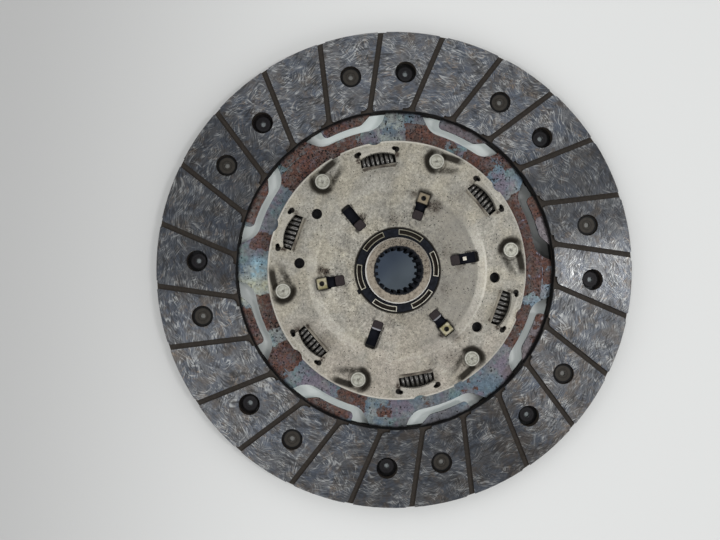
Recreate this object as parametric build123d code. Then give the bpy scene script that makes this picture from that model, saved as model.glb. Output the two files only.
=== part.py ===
"""Clutch disc with a two-stage torsion damper.

Millimetres. The disc lies flat with its gearbox side up. The origin is on the axis, in the
plane that the lower rivet heads rest on, and +Z points to the gearbox.
"""

from build123d import *
import math
import os

os.makedirs("parts", exist_ok=True)

# Friction facings
facing_outer_r = 120.0
facing_inner_r = 80.5
facing_thickness = 3.3
groove_count = 24
groove_width = 2.7
groove_depth = 1.3
groove_flare = 3.0
groove_outer_flare = 1.4
groove_outer_deg = 3.7
groove_lean_deg = 6.0
facing_edge_break = 0.4

# Facing rivets: each paddle carries one rivet for each facing
rivet_circle_inset = 0.45
rivet_pair_mid_deg = 95.3
rivet_half_spread_deg = 8.0
counterbore_r = 5.35
counterbore_depth = 1.9
rivet_head_r = 4.8
rivet_head_thickness = 0.8
rivet_shank_r = 2.5
rivet_tail_r = 3.9
rivet_tail_thickness = 0.9
rivet_eye_r = 1.3
rivet_clearance = 0.1

# Cushion plate
paddle_count = 8
cushion_thickness = 0.8
cushion_lift = 0.65
cushion_setback = 2.0
cushion_overlap = 2.0
cushion_ear_r = 6.6
paddle_split_deg = 119.7
paddle_split_half_deg = 1.2
window_inner_r = 72.2
window_start_deg = 96.5
window_end_deg = 120.8
window_hook_depth = 9.8
window_hook_deg = 126.3
window_eye_depth = 12.3
window_eye_start_deg = 92.6
window_eye_end_deg = 95.8
tongue_gap = 3.4
tongue_start_deg = 103.6
slit_root_rise = 5.5
window_end_corner = 9.0
window_start_corner = 10.0
window_hook_corner = 2.2
window_eye_corner = 1.2
tongue_heel_corner = 5.0
tongue_tip_corner = 2.4
bend_deg = 96.0
bend_half_width = 1.5

# Retainer plate and drive plate
plate_r = 64.0
plate_thickness = 2.4
plate_edge_round = 1.1
plate_edge_bevel = 0.33
bearing_ring_width = 4.9
dish_inner_r = 39.5
dish_width = 5.0
dish_rise = 0.7
pocket_r = 5.4
pocket_depth = 1.2
pocket_draft = 0.7
valley_r = 3.2
valley_length = 13.0
valley_offset = 0.9
valley_lean_deg = 11.0
long_valley_length = 24.0
long_valley_lean_deg = 13.0
long_valleys = (2, 5)
valley_mouth_deg = 11.9
valley_mouth_width = 4.8
valley_mouth_depth = 1.0
valley_mouth_corner = 0.7
valley_lift = 0.06
boss_width = 1.2
drive_dish_drop = 0.8
rim_notch_r = 4.4
rim_notch_depth = 1.5

# Windows for the damper springs
spring_count = 6
spring_first_deg = 40.0
spring_inset = 9.0
spring_length = 17.4
spring_outer_r = 5.75
spring_wire_r = 1.0
spring_turns = 6.7
spring_facets = (8, 6)
coil_air = 0.02
spring_clearance = 0.3
window_inner_reach = 4.1
window_outer_reach = 3.6
window_shoulder = 2.4
window_lip_gap = 0.4
window_lip_gap_depth = 1.3
window_lip_width = 1.2
window_lip_drop = 0.7
hood_thickness = 2.5
relief_hole_r = 1.15
relief_hole_setback = 0.8
relief_hole_offset = 8.73

# Slots over the friction control, and the locating holes
slot_count = 6
slot_first_deg = 10.0
slot_bore_gap = 5.5
slot_overrun = 1.2
slot_width = 5.3
slot_wide = 6.2
slot_wide_length = 7.7
slot_corner = 1.2
locating_hole_r = 2.6
locating_setback = 3.8
locating_degs = (145.0, 175.8, 324.6, 355.8)

# Stop rivets
stop_count = 6
stop_first_deg = 10.2
stop_inset = 7.0
stop_tenon_r = 2.6
stop_shoulder_r = 3.5
stop_head_r = 3.75
stop_head_height = 1.5
stop_head_rim = 0.35
stop_head_ring_r = 2.7
stop_head_dish = 0.2
stop_dimple_r = 0.75
stop_dimple_depth = 0.4

# Hub flange
flange_thickness = 5.0
flange_inset = 1.2
flange_gap = 0.8
main_travel_deg = 4.0
stop_play = 0.35
notch_floor_gap = 0.8

# Hub and its inner toothing
hub_r = 16.0
hub_top_above_facing = 11.5
hub_foot_gap = 0.4
hub_foot_step = 0.8
hub_chamfer = 0.6
collar_width = 5.0
collar_tooth_height = 3.0
tooth_gap = 0.4
idle_travel_deg = 4.0
idle_play_deg = 0.25
collar_tooth_deg = 10.0
collar_tooth_half_pitch_deg = 15.0
spline_teeth = 20
spline_minor_r = 9.9
spline_depth = 1.3
spline_space_share = 0.54
spline_chamfer = 0.6
spline_first_deg = 9.0

# Idle springs between the hub and its flange
idle_spring_count = 4
idle_outset = 0.2
idle_length = 8.6
idle_outer_r = 2.3
idle_wire_r = 0.45
idle_turns = 5.0
idle_facets = (6, 4)
idle_pocket_r = 2.6
idle_pocket_end_gap = 0.05

# Friction package
ring_clearance = 0.15
hub_running_gap = 0.05
ring_top_above_plate = 0.4
ring_flange_margin = 0.2
ring_flange_thickness = 1.3
ring_pocket_inset = 1.9
ring_pocket_width = 1.9
ring_pocket_half_deg = 17.5
ring_pocket_depth = 1.4
ring_lip = 0.35
ring_lip_height = 0.3
ring_key_deg = 209.0
ring_key_width = 2.4
ring_key_length = 1.5
key_root = 0.5
hook_reach = 4.6
hook_gap = 0.2
hook_below_top = 0.4
control_margin = 0.8
control_thickness = 0.8
control_lug_gap = 0.4
control_lug_length = 5.1
control_lug_corner = 0.5
control_lug_hole_r = 1.15
washer_thickness = 1.0
washer_inset = 1.0
dia_spring_gap = 0.4
dia_spring_inset = 0.2
dia_spring_thickness = 0.6
dia_tab_setback = 2.8
dia_tab_width = 1.8
drive_bush_wall = 4.0
bush_flange_width = 6.8
cone_spring_inset = 0.5
seat_gap = 0.05

# Radii that follow from the sizes above
rivet_circle_r = (facing_inner_r + facing_outer_r) / 2 - rivet_circle_inset
cushion_outer_r = facing_outer_r - cushion_setback
cushion_inner_r = plate_r - cushion_overlap
window_hook_r = window_inner_r + window_hook_depth
window_eye_r = window_inner_r + window_eye_depth
tongue_tip_r = window_inner_r + tongue_gap
slit_root_r = window_hook_r + slit_root_rise
spring_circle_r = plate_r - spring_inset
window_low_r = spring_circle_r - window_inner_reach
window_high_r = spring_circle_r + window_outer_reach
window_lip_r = window_low_r + window_lip_gap + window_lip_width
relief_hole_circle_r = window_high_r + relief_hole_setback
stop_circle_r = plate_r - stop_inset
dish_outer_r = dish_inner_r + dish_width
locating_circle_r = dish_outer_r + locating_setback
flange_r = plate_r - flange_inset
hub_lower_r = hub_r - hub_foot_step
collar_root_r = hub_r + collar_width
collar_tip_r = collar_root_r + collar_tooth_height
spline_major_r = spline_minor_r + spline_depth
idle_circle_r = collar_root_r + idle_outset
retainer_bore_r = hub_r + bearing_ring_width
drive_bore_r = hub_lower_r + drive_bush_wall
bush_flange_r = drive_bore_r + bush_flange_width
slot_inner_r = retainer_bore_r + slot_bore_gap
slot_outer_r = dish_inner_r + slot_overrun
hook_outer_r = slot_inner_r + hook_reach
ring_flange_r = hook_outer_r + ring_flange_margin
ring_pocket_inner_r = hub_r + ring_pocket_inset
ring_pocket_outer_r = ring_pocket_inner_r + ring_pocket_width
dia_spring_inner_r = ring_flange_r + dia_spring_gap
dia_spring_outer_r = dish_inner_r - dia_spring_inset
dia_tab_r = hook_outer_r + dia_tab_setback
control_inner_r = dia_spring_inner_r + control_margin
control_outer_r = slot_outer_r + control_margin
control_lug_outer_r = slot_outer_r - control_lug_gap
control_lug_inner_r = control_lug_outer_r - control_lug_length
washer_outer_r = control_outer_r - washer_inset

# Heights, worked up from the plane that the lower rivet heads rest on
drive_bottom = stop_head_height
drive_top = drive_bottom + plate_thickness
cushion_top = drive_top + cushion_thickness
facing_a_bottom = cushion_top + cushion_lift
facing_a_top = facing_a_bottom + facing_thickness
facing_b_bottom = drive_top - facing_thickness
flange_bottom = cushion_top + flange_gap
flange_top = flange_bottom + flange_thickness
flange_mid = (flange_bottom + flange_top) / 2
pocket_under = flange_top + flange_gap
retainer_under = pocket_under + pocket_depth
retainer_top = retainer_under + plate_thickness
dish_under = retainer_under + dish_rise
dish_top = retainer_top + dish_rise
drive_dish_bottom = drive_bottom - drive_dish_drop
drive_dish_top = drive_top - drive_dish_drop
hub_top = facing_a_top + hub_top_above_facing
ring_top = dish_top + ring_top_above_plate


def polar(radius, degrees, z=0.0):
    """A point at a radius and an angle about the axis."""
    angle = math.radians(degrees)
    return Vector(radius * math.cos(angle), radius * math.sin(angle), z)


def turned(shape, degrees):
    """The shape turned about the axis."""
    return Rot(0, 0, degrees) * shape


def around(shape, count, first=0.0):
    """Copies of a shape at equal angles about the axis."""
    return [turned(shape, first + 360.0 / count * index) for index in range(count)]


def disc(radius, low, high):
    """A round plate between two heights."""
    return Pos(0, 0, low) * extrude(Circle(radius), high - low)


def ring(inner, outer, low, high):
    """A flat ring between two heights."""
    return Pos(0, 0, low) * extrude(Circle(outer) - Circle(inner), high - low)


def post(radius, low, high, place):
    """An upright cylinder standing at a place."""
    return Pos(place.X, place.Y, low) * extrude(Circle(radius), high - low)


def radial_slot(inner, outer, width, corner, low, high):
    """A rounded slot that runs outwards along +X."""
    outline = Pos((inner + outer) / 2, 0) * RectangleRounded(outer - inner, width, corner)
    return Pos(0, 0, low) * extrude(outline, high - low)


def sector(inner, outer, start_deg, end_deg):
    """A flat piece of a ring between two angles."""
    middle = (start_deg + end_deg) / 2
    edges = [
        Line(polar(inner, start_deg), polar(outer, start_deg)),
        ThreePointArc(polar(outer, start_deg), polar(outer, middle), polar(outer, end_deg)),
        Line(polar(outer, end_deg), polar(inner, end_deg)),
        ThreePointArc(polar(inner, end_deg), polar(inner, middle), polar(inner, start_deg)),
    ]
    return make_face(edges)


def turned_profile(points):
    """A solid of revolution from radius and height pairs."""
    corners = [Vector(radius, 0, height) for radius, height in points]
    return revolve(make_face(Polyline(*corners, close=True)), Axis.Z)


def round_corner(face, corner, radius):
    """Round the outline's corner that lies nearest to a point."""
    vertex = face.vertices().sort_by_distance(corner)[0]
    return fillet(vertex, radius)


def spring_place(degrees, radius):
    """The frame of a spring that lies along the circle, with its own axis along Z."""
    centre = polar(radius, degrees, flange_mid)
    return Pos(centre) * Rot(0, 0, degrees) * Rot(90, 0, 0)


def lying_cylinder(radius, length, degrees, circle_r):
    """A cylinder about the axis of a spring."""
    return spring_place(degrees, circle_r) * Cylinder(radius, length)


def coil_spring(mean_r, wire_r, length, turns, facets):
    """A faceted coil spring with one closed turn at each end, about Z."""
    steps_per_turn, sides = facets
    steps = round(turns * steps_per_turn)
    closed = steps_per_turn
    close_pitch = 2 * wire_r * (1 + coil_air)
    open_rise = length - 2 * wire_r - 2 * close_pitch
    points = []
    for step in range(steps + 1):
        angle = 2 * math.pi * step / steps_per_turn
        low = min(step, closed) * close_pitch / steps_per_turn
        high = max(step - (steps - closed), 0) * close_pitch / steps_per_turn
        middle = min(max(step - closed, 0), steps - 2 * closed) * open_rise / (steps - 2 * closed)
        height = -length / 2 + wire_r + low + middle + high
        points.append(Vector(mean_r * math.cos(angle), mean_r * math.sin(angle), height))
    path = Polyline(*points)
    start = Plane(origin=path @ 0, z_dir=path % 0)
    section = start * RegularPolygon(wire_r, sides, major_radius=True)
    return sweep(section, path=path, transition=Transition.RIGHT)


def groove():
    """The cutter of one facing groove, flared at both its mouths."""
    outer = polar(facing_outer_r, groove_outer_deg)
    inner = polar(facing_inner_r, groove_outer_deg + groove_lean_deg)
    run = (outer - inner).length
    lean = math.degrees(math.atan2(outer.Y - inner.Y, outer.X - inner.X))
    straight = Pos(run / 2, 0) * Rectangle(run + 4, groove_width)
    mouths = groove_mouth(groove_flare) + Pos(run, 0) * Rot(0, 0, 180) * groove_mouth(groove_outer_flare)
    outline = Pos(inner.X, inner.Y) * Rot(0, 0, lean) * (straight + mouths)
    return Pos(0, 0, facing_thickness - groove_depth) * extrude(outline, groove_depth + 1)


def groove_mouth(flare):
    """The outline of a groove's mouth, which opens in two arcs of the flare's radius."""
    half = groove_width / 2
    mouth = half + flare
    middle = flare * (1 - math.sqrt(0.5))
    edges = [
        Line((flare, -half), (flare, half)),
        ThreePointArc((flare, half), (middle, half + middle), (0, mouth)),
        Line((0, mouth), (-2, mouth)),
        Line((-2, mouth), (-2, -mouth)),
        Line((-2, -mouth), (0, -mouth)),
        ThreePointArc((0, -mouth), (middle, -half - middle), (flare, -half)),
    ]
    return make_face(edges)


def facing():
    """One facing with its friction face up and its back at height zero."""
    body = ring(facing_inner_r, facing_outer_r, 0, facing_thickness)
    top_outer = body.edges().filter_by(GeomType.CIRCLE).sort_by(Axis.Z)[-2:]
    body = chamfer(top_outer, facing_edge_break)
    seat = facing_thickness - counterbore_depth
    head_place = polar(rivet_circle_r, rivet_pair_mid_deg + rivet_half_spread_deg)
    access_place = polar(rivet_circle_r, rivet_pair_mid_deg - rivet_half_spread_deg)
    shank_hole = post(rivet_shank_r + rivet_clearance, -1, facing_thickness, head_place)
    counterbore = post(counterbore_r, seat, facing_thickness + 1, head_place)
    access = post(counterbore_r, -1, facing_thickness + 1, access_place)
    cutters = around(groove(), groove_count)
    for cutter in (shank_hole, counterbore, access):
        cutters += around(cutter, paddle_count)
    return body - cutters


def facing_rivet():
    """A tubular facing rivet about Z, with the facing's back at height zero."""
    seat = facing_thickness - counterbore_depth
    head_top = seat + rivet_head_thickness
    tail_top = -cushion_thickness
    tail_bottom = tail_top - rivet_tail_thickness
    profile = [
        (0, tail_top),
        (rivet_eye_r, tail_top),
        (rivet_eye_r, tail_bottom),
        (rivet_tail_r, tail_bottom),
        (rivet_shank_r, tail_top),
        (rivet_shank_r, seat),
        (rivet_head_r, seat),
        (rivet_head_r, head_top),
        (rivet_eye_r, head_top),
        (rivet_eye_r, seat),
        (0, seat),
    ]
    return turned_profile(profile)


def flipped(shape):
    """The same part turned over about the line midway between two rivets of a pair."""
    line = Axis((0, 0, 0), tuple(polar(1, rivet_pair_mid_deg)))
    return shape.rotate(line, 180)


def facing_set():
    """Both facings and both rings of rivets."""
    one_rivet = Pos(polar(rivet_circle_r, rivet_pair_mid_deg + rivet_half_spread_deg))
    rivets = Compound(children=around(one_rivet * facing_rivet(), paddle_count))
    ring_part = facing()
    upper = Pos(0, 0, facing_a_bottom)
    lower = Pos(0, 0, drive_top)
    return {
        "facing_gearbox_side": upper * ring_part,
        "facing_rivets_gearbox_side": upper * rivets,
        "facing_flywheel_side": lower * flipped(ring_part),
        "facing_rivets_flywheel_side": lower * flipped(rivets),
    }


def cushion_window():
    """The outline of one S-shaped window with the slit that parts two paddles."""
    slit_start = paddle_split_deg - paddle_split_half_deg
    slit_end = paddle_split_deg + paddle_split_half_deg
    past_rim = cushion_outer_r + 1
    inner_mid = (window_start_deg + window_end_deg) / 2
    tip_mid = (tongue_start_deg + slit_start) / 2
    inner_start = polar(window_inner_r, window_start_deg)
    inner_end = polar(window_inner_r, window_end_deg)
    hook = polar(window_hook_r, window_hook_deg)
    eye_start = polar(window_eye_r, window_eye_start_deg)
    eye_end = polar(window_eye_r, window_eye_end_deg)
    tip_start = polar(tongue_tip_r, tongue_start_deg)
    tip_end = polar(tongue_tip_r, slit_start)
    edges = [
        Line(polar(past_rim, slit_end), polar(slit_root_r, slit_end)),
        Line(polar(slit_root_r, slit_end), hook),
        Line(hook, inner_end),
        ThreePointArc(inner_end, polar(window_inner_r, inner_mid), inner_start),
        Line(inner_start, eye_start),
        Line(eye_start, eye_end),
        Line(eye_end, tip_start),
        ThreePointArc(tip_start, polar(tongue_tip_r, tip_mid), tip_end),
        Line(tip_end, polar(past_rim, slit_start)),
        Line(polar(past_rim, slit_start), polar(past_rim, slit_end)),
    ]
    outline = make_face(edges)
    outline = round_corner(outline, inner_end, window_end_corner)
    outline = round_corner(outline, inner_start, window_start_corner)
    outline = round_corner(outline, hook, window_hook_corner)
    outline = round_corner(outline, eye_start, window_eye_corner)
    outline = round_corner(outline, eye_end, window_eye_corner)
    outline = round_corner(outline, tip_start, tongue_heel_corner)
    return round_corner(outline, tip_end, tongue_tip_corner)


def paddle_wave():
    """The pressed strip that lifts the far half of one paddle, before it is cut to shape."""
    reach = cushion_outer_r
    profile = [
        (-reach, 0),
        (-bend_half_width, 0),
        (bend_half_width, cushion_lift),
        (reach, cushion_lift),
        (reach, cushion_lift + cushion_thickness),
        (bend_half_width, cushion_lift + cushion_thickness),
        (-bend_half_width, cushion_thickness),
        (-reach, cushion_thickness),
    ]
    corners = [Vector(-across, 0, height) for across, height in profile]
    strip = extrude(make_face(Polyline(*corners, close=True)), cushion_outer_r + 2, dir=(0, 1, 0))
    return Rot(0, 0, bend_deg - 90) * strip


def cushion_plate():
    """The spring-steel plate with eight joggled paddles between the facings."""
    sheet = Circle(cushion_outer_r) - Circle(cushion_inner_r)
    ears = [Pos(polar(stop_circle_r, angle)) * Circle(cushion_ear_r) for angle in stop_degs()]
    sheet = sheet + ears
    sheet = sheet - around(cushion_window(), paddle_count)
    holes = []
    for side in (-1, 1):
        place = polar(rivet_circle_r, rivet_pair_mid_deg + side * rivet_half_spread_deg)
        holes += around(Pos(place) * Circle(rivet_shank_r + rivet_clearance), paddle_count)
    holes += [Pos(polar(stop_circle_r, angle)) * Circle(stop_tenon_r) for angle in stop_degs()]
    sheet = sheet - holes
    parting_r = (window_inner_r + tongue_tip_r) / 2
    web = extrude(sheet & Circle(parting_r), cushion_thickness)
    split = 360.0 / paddle_count
    reach = sector(parting_r, cushion_outer_r + 1, paddle_split_deg - split, paddle_split_deg)
    paddle = extrude(sheet & reach, cushion_lift + cushion_thickness) & paddle_wave()
    return Pos(0, 0, drive_top) * (web + around(paddle, paddle_count))


def stop_degs():
    """The angles of the stop rivets."""
    return [stop_first_deg + 360.0 / stop_count * index for index in range(stop_count)]


def window_opening(inner_r, low, high):
    """The D-shaped cutter of a spring window at angle zero."""
    half = spring_length / 2
    edges = [
        Line((inner_r, -half), (inner_r, half)),
        Line((inner_r, half), (window_high_r - window_shoulder, half)),
        ThreePointArc(
            (window_high_r - window_shoulder, half),
            (window_high_r, 0),
            (window_high_r - window_shoulder, -half),
        ),
        Line((window_high_r - window_shoulder, -half), (inner_r, -half)),
    ]
    return Pos(0, 0, low) * extrude(make_face(edges), high - low)


def spring_hood(low, high):
    """The pressed wall that hugs a spring and stands out of the sheet between two heights."""
    shell_r = spring_outer_r + spring_clearance + hood_thickness
    shell = lying_cylinder(shell_r, spring_length, 0, spring_circle_r)
    box = Pos(spring_circle_r, 0, low) * extrude(Rectangle(2 * shell_r, spring_length), high - low)
    return shell & box


def cut_spring_windows(plate, inner_r, hood_low, hood_high):
    """Add the hoods, then open the windows, their spring seats and their relief holes."""
    seat_r = spring_outer_r + spring_clearance
    hoods = around(spring_hood(hood_low, hood_high), spring_count, spring_first_deg)
    plate = plate + hoods
    low = hood_low - plate_thickness
    high = hood_high + plate_thickness
    cutters = around(window_opening(inner_r, low, high), spring_count, spring_first_deg)
    seat = lying_cylinder(seat_r, spring_length, 0, spring_circle_r)
    cutters += around(seat, spring_count, spring_first_deg)
    for side in (-1, 1):
        place = Vector(relief_hole_circle_r, side * relief_hole_offset)
        hole = post(relief_hole_r, low, high, place)
        cutters += around(hole, spring_count, spring_first_deg)
    return plate - cutters


def window_lips():
    """The cutters that set the inner lip of each retainer window below the plate's face."""
    cutters = []
    for outer_r, depth in (
        (window_lip_r, window_lip_drop),
        (window_low_r + window_lip_gap, window_lip_gap_depth),
    ):
        outline = Pos((window_low_r + outer_r) / 2, 0) * Rectangle(outer_r - window_low_r, spring_length)
        step = Pos(0, 0, retainer_top - depth) * extrude(outline, depth + plate_thickness)
        cutters += around(step, spring_count, spring_first_deg)
    return cutters


def rim_notches(low, high):
    """The shallow scallops of the rim, one outside each spring window."""
    place = Vector(plate_r + rim_notch_r - rim_notch_depth, 0)
    notch = post(rim_notch_r, low - 1, high + 1, place)
    return around(notch, spring_count, spring_first_deg)


def valley_mouths(low, high):
    """The short dips of the rim where the two long valleys run out."""
    outline = Pos(plate_r, 0) * RectangleRounded(
        2 * valley_mouth_depth, valley_mouth_width, valley_mouth_corner
    )
    mouth = Pos(0, 0, low - 1) * extrude(outline, high - low + 2)
    return [turned(mouth, stop_degs()[index] - valley_mouth_deg) for index in long_valleys]


def retainer_blank():
    """The pressed sheet of the retainer plate, with its raised middle and rounded rim."""
    profile = [
        (retainer_bore_r, dish_under),
        (dish_inner_r, dish_under),
        (dish_outer_r, retainer_under),
        (plate_r, retainer_under),
        (plate_r, retainer_top - plate_edge_round),
        (plate_r - plate_edge_bevel, retainer_top - plate_edge_bevel),
        (plate_r - plate_edge_round, retainer_top),
        (dish_outer_r, retainer_top),
        (dish_inner_r, dish_top),
        (retainer_bore_r, dish_top),
    ]
    return turned_profile(profile)


def stop_pocket(length, lean_deg):
    """The cutter of one stop-rivet pocket at angle zero, with its valley leaning outwards."""
    floor = retainer_top - pocket_depth
    cone = turned_profile(
        [
            (0, floor),
            (pocket_r - pocket_draft, floor),
            (pocket_r + pocket_draft, retainer_top + 1),
            (0, retainer_top + 1),
        ]
    )
    cone = Pos(stop_circle_r, 0, 0) * cone
    slope = math.degrees(math.atan2(pocket_depth, length))
    valley = Rot(90 - slope, 0, 0) * Pos(0, 0, length / 2) * Cylinder(valley_r, length)
    start = Pos(stop_circle_r + valley_offset, 0, floor + valley_r - valley_lift)
    return cone + start * Rot(0, 0, lean_deg) * valley


def stop_pockets():
    """The cutters of all the stop-rivet pockets; two of their valleys run out at the rim."""
    short = stop_pocket(valley_length, valley_lean_deg)
    long = stop_pocket(long_valley_length, long_valley_lean_deg)
    cutters = []
    for index, angle in enumerate(stop_degs()):
        cutters.append(turned(long if index in long_valleys else short, angle))
    return cutters


def retainer_slots():
    """The radial slots over the friction control, every second one stepped wider."""
    low = retainer_under - 1
    high = dish_top + 1
    plain = radial_slot(slot_inner_r, slot_outer_r, slot_width, slot_corner, low, high)
    step_r = slot_outer_r - slot_wide_length
    wide = radial_slot(step_r, slot_outer_r, slot_wide, slot_corner, low, high)
    return around(plain, slot_count, slot_first_deg) + at_wide_slots(wide)


def at_wide_slots(shape):
    """Copies of a shape at the stepped slots, which are every second one."""
    return around(shape, slot_count // 2, slot_first_deg + 360.0 / slot_count)


def retainer_plate():
    """The gearbox-side plate, pressed from sheet."""
    plate = retainer_blank()
    boss_r = pocket_r + boss_width
    bosses = [
        post(boss_r, pocket_under, retainer_under + pocket_depth / 2, polar(stop_circle_r, angle))
        for angle in stop_degs()
    ]
    plate = plate + bosses
    plate = cut_spring_windows(plate, window_lip_r, retainer_under, hub_top)
    cutters = stop_pockets()
    cutters += window_lips()
    cutters += rim_notches(pocket_under, retainer_top)
    cutters += valley_mouths(pocket_under, retainer_top)
    cutters += retainer_slots()
    cutters += [
        post(stop_tenon_r, pocket_under - 1, retainer_top, polar(stop_circle_r, angle))
        for angle in stop_degs()
    ]
    cutters += [
        post(locating_hole_r, retainer_under - 1, dish_top + 1, polar(locating_circle_r, angle))
        for angle in locating_degs
    ]
    key_outline = Rectangle(ring_key_length + 2 * key_root, ring_key_width)
    key = Pos(retainer_bore_r + ring_key_length / 2 - key_root, 0, dish_under - 1) * extrude(
        key_outline, plate_thickness + 2
    )
    cutters.append(turned(key, ring_key_deg))
    plate = plate - cutters
    return plate & disc(plate_r, 0, hub_top)


def drive_plate():
    """The flywheel-side plate, dished down round the hub."""
    profile = [
        (drive_bore_r, drive_dish_bottom),
        (dish_inner_r, drive_dish_bottom),
        (dish_outer_r, drive_bottom),
        (plate_r - plate_edge_round, drive_bottom),
        (plate_r, drive_bottom + plate_edge_round),
        (plate_r, drive_top),
        (dish_outer_r, drive_top),
        (dish_inner_r, drive_dish_top),
        (drive_bore_r, drive_dish_top),
    ]
    blank = turned_profile(profile)
    plate = cut_spring_windows(blank, window_low_r, -hub_top, drive_top)
    holes = [
        post(stop_tenon_r, drive_bottom - 1, drive_top + 1, polar(stop_circle_r, angle))
        for angle in stop_degs()
    ]
    return (plate - holes) & disc(plate_r, 0, hub_top)


def stop_rivet():
    """One stop rivet about Z: its shoulder is the distance piece between the plates."""
    pocket_floor = retainer_top - pocket_depth
    head_top = pocket_floor + stop_head_height
    profile = [
        (0, 0),
        (stop_head_r - stop_head_rim, 0),
        (stop_head_r, stop_head_rim),
        (stop_head_r, drive_bottom),
        (stop_tenon_r, drive_bottom),
        (stop_tenon_r, cushion_top),
        (stop_shoulder_r, cushion_top),
        (stop_shoulder_r, pocket_under),
        (stop_tenon_r, pocket_under),
        (stop_tenon_r, pocket_floor),
        (stop_head_r, pocket_floor),
        (stop_head_r, head_top - stop_head_rim),
        (stop_head_r - stop_head_rim, head_top),
        (stop_head_ring_r, head_top),
        (stop_head_ring_r - stop_head_dish, head_top - stop_head_dish),
        (stop_dimple_r, head_top - stop_head_dish),
        (0, head_top - stop_head_dish - stop_dimple_depth),
    ]
    return turned_profile(profile)


def stop_rivets():
    """The six stop rivets."""
    rivet = stop_rivet()
    return Compound(children=[Pos(polar(stop_circle_r, angle)) * rivet for angle in stop_degs()])


def hub_flange():
    """The flange that the damper springs turn, with its rim notches and inner toothing."""
    body = ring(collar_root_r + tooth_gap, flange_r, flange_bottom, flange_top)
    low = flange_bottom - 1
    high = flange_top + 1
    half = spring_length / 2
    reach = spring_outer_r + spring_clearance
    outline = Pos(spring_circle_r, 0) * Rectangle(2 * reach, 2 * half)
    window = Pos(0, 0, low) * extrude(outline, high - low)
    cutters = around(window, spring_count, spring_first_deg)
    notch_floor_r = stop_circle_r - stop_shoulder_r - notch_floor_gap
    swing = main_travel_deg + math.degrees((stop_shoulder_r + stop_play) / stop_circle_r)
    notch = extrude(sector(notch_floor_r, flange_r + 2, -swing, swing), high - low)
    cutters += around(Pos(0, 0, low) * notch, stop_count, stop_first_deg)
    cutters += tooth_spaces(low, high)
    cutters += idle_pockets()
    return body - cutters


def tooth_spaces(low, high):
    """The spaces of the flange's inner toothing, one for each tooth of the hub."""
    half = collar_tooth_deg / 2 + idle_travel_deg + idle_play_deg
    space = sector(collar_root_r - 1, collar_tip_r + tooth_gap, -half, half)
    solid = Pos(0, 0, low) * extrude(space, high - low)
    return [turned(solid, angle) for angle in collar_tooth_degs()]


def collar_tooth_degs():
    """The angles of the hub's outer teeth: two between each pair of idle springs."""
    angles = []
    spacing = 360.0 / idle_spring_count
    for index in range(idle_spring_count):
        middle = spacing * (index + 0.5)
        angles += [middle - collar_tooth_half_pitch_deg, middle + collar_tooth_half_pitch_deg]
    return angles


def idle_pockets():
    """The pockets of the idle springs, half in the hub and half in the flange."""
    outline = Pos(idle_circle_r, 0) * Rectangle(
        2 * idle_pocket_r, idle_length + 2 * idle_pocket_end_gap
    )
    solid = Pos(0, 0, flange_bottom - 1) * extrude(outline, flange_thickness + 2)
    return around(solid, idle_spring_count)


def spline_bore():
    """The splined bore's cutter, with chamfered mouths."""
    low = hub_foot_gap
    pitch = 360.0 / spline_teeth
    half = pitch * spline_space_share / 2
    space = sector(spline_minor_r - 1, spline_major_r, -half, half)
    spaces = around(space, spline_teeth, spline_first_deg + pitch / 2)
    outline = Circle(spline_minor_r) + spaces
    bore = Pos(0, 0, low - 1) * extrude(outline, hub_top - low + 2)
    mouth_r = spline_major_r + spline_chamfer / 2
    depth = mouth_r - spline_minor_r + spline_chamfer
    mouths = []
    for level, outward in ((hub_top, 1), (low, -1)):
        cone = [
            (0, level + outward),
            (mouth_r + 1, level + outward),
            (mouth_r, level),
            (mouth_r - depth, level - outward * depth),
            (0, level - outward * depth),
        ]
        mouths.append(turned_profile(cone))
    return [bore] + mouths


def hub():
    """The splined hub with its toothed collar."""
    low = hub_foot_gap
    profile = [
        (0, low),
        (hub_lower_r - hub_chamfer, low),
        (hub_lower_r, low + hub_chamfer),
        (hub_lower_r, flange_bottom),
        (collar_root_r, flange_bottom),
        (collar_root_r, flange_top),
        (hub_r, flange_top),
        (hub_r, hub_top - hub_chamfer),
        (hub_r - hub_chamfer, hub_top),
        (0, hub_top),
    ]
    body = turned_profile(profile)
    half = collar_tooth_deg / 2
    tooth = sector(collar_root_r - 1, collar_tip_r, -half, half)
    solid = Pos(0, 0, flange_bottom) * extrude(tooth, flange_thickness)
    body = body + [turned(solid, angle) for angle in collar_tooth_degs()]
    return body - spline_bore() - idle_pockets()


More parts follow.
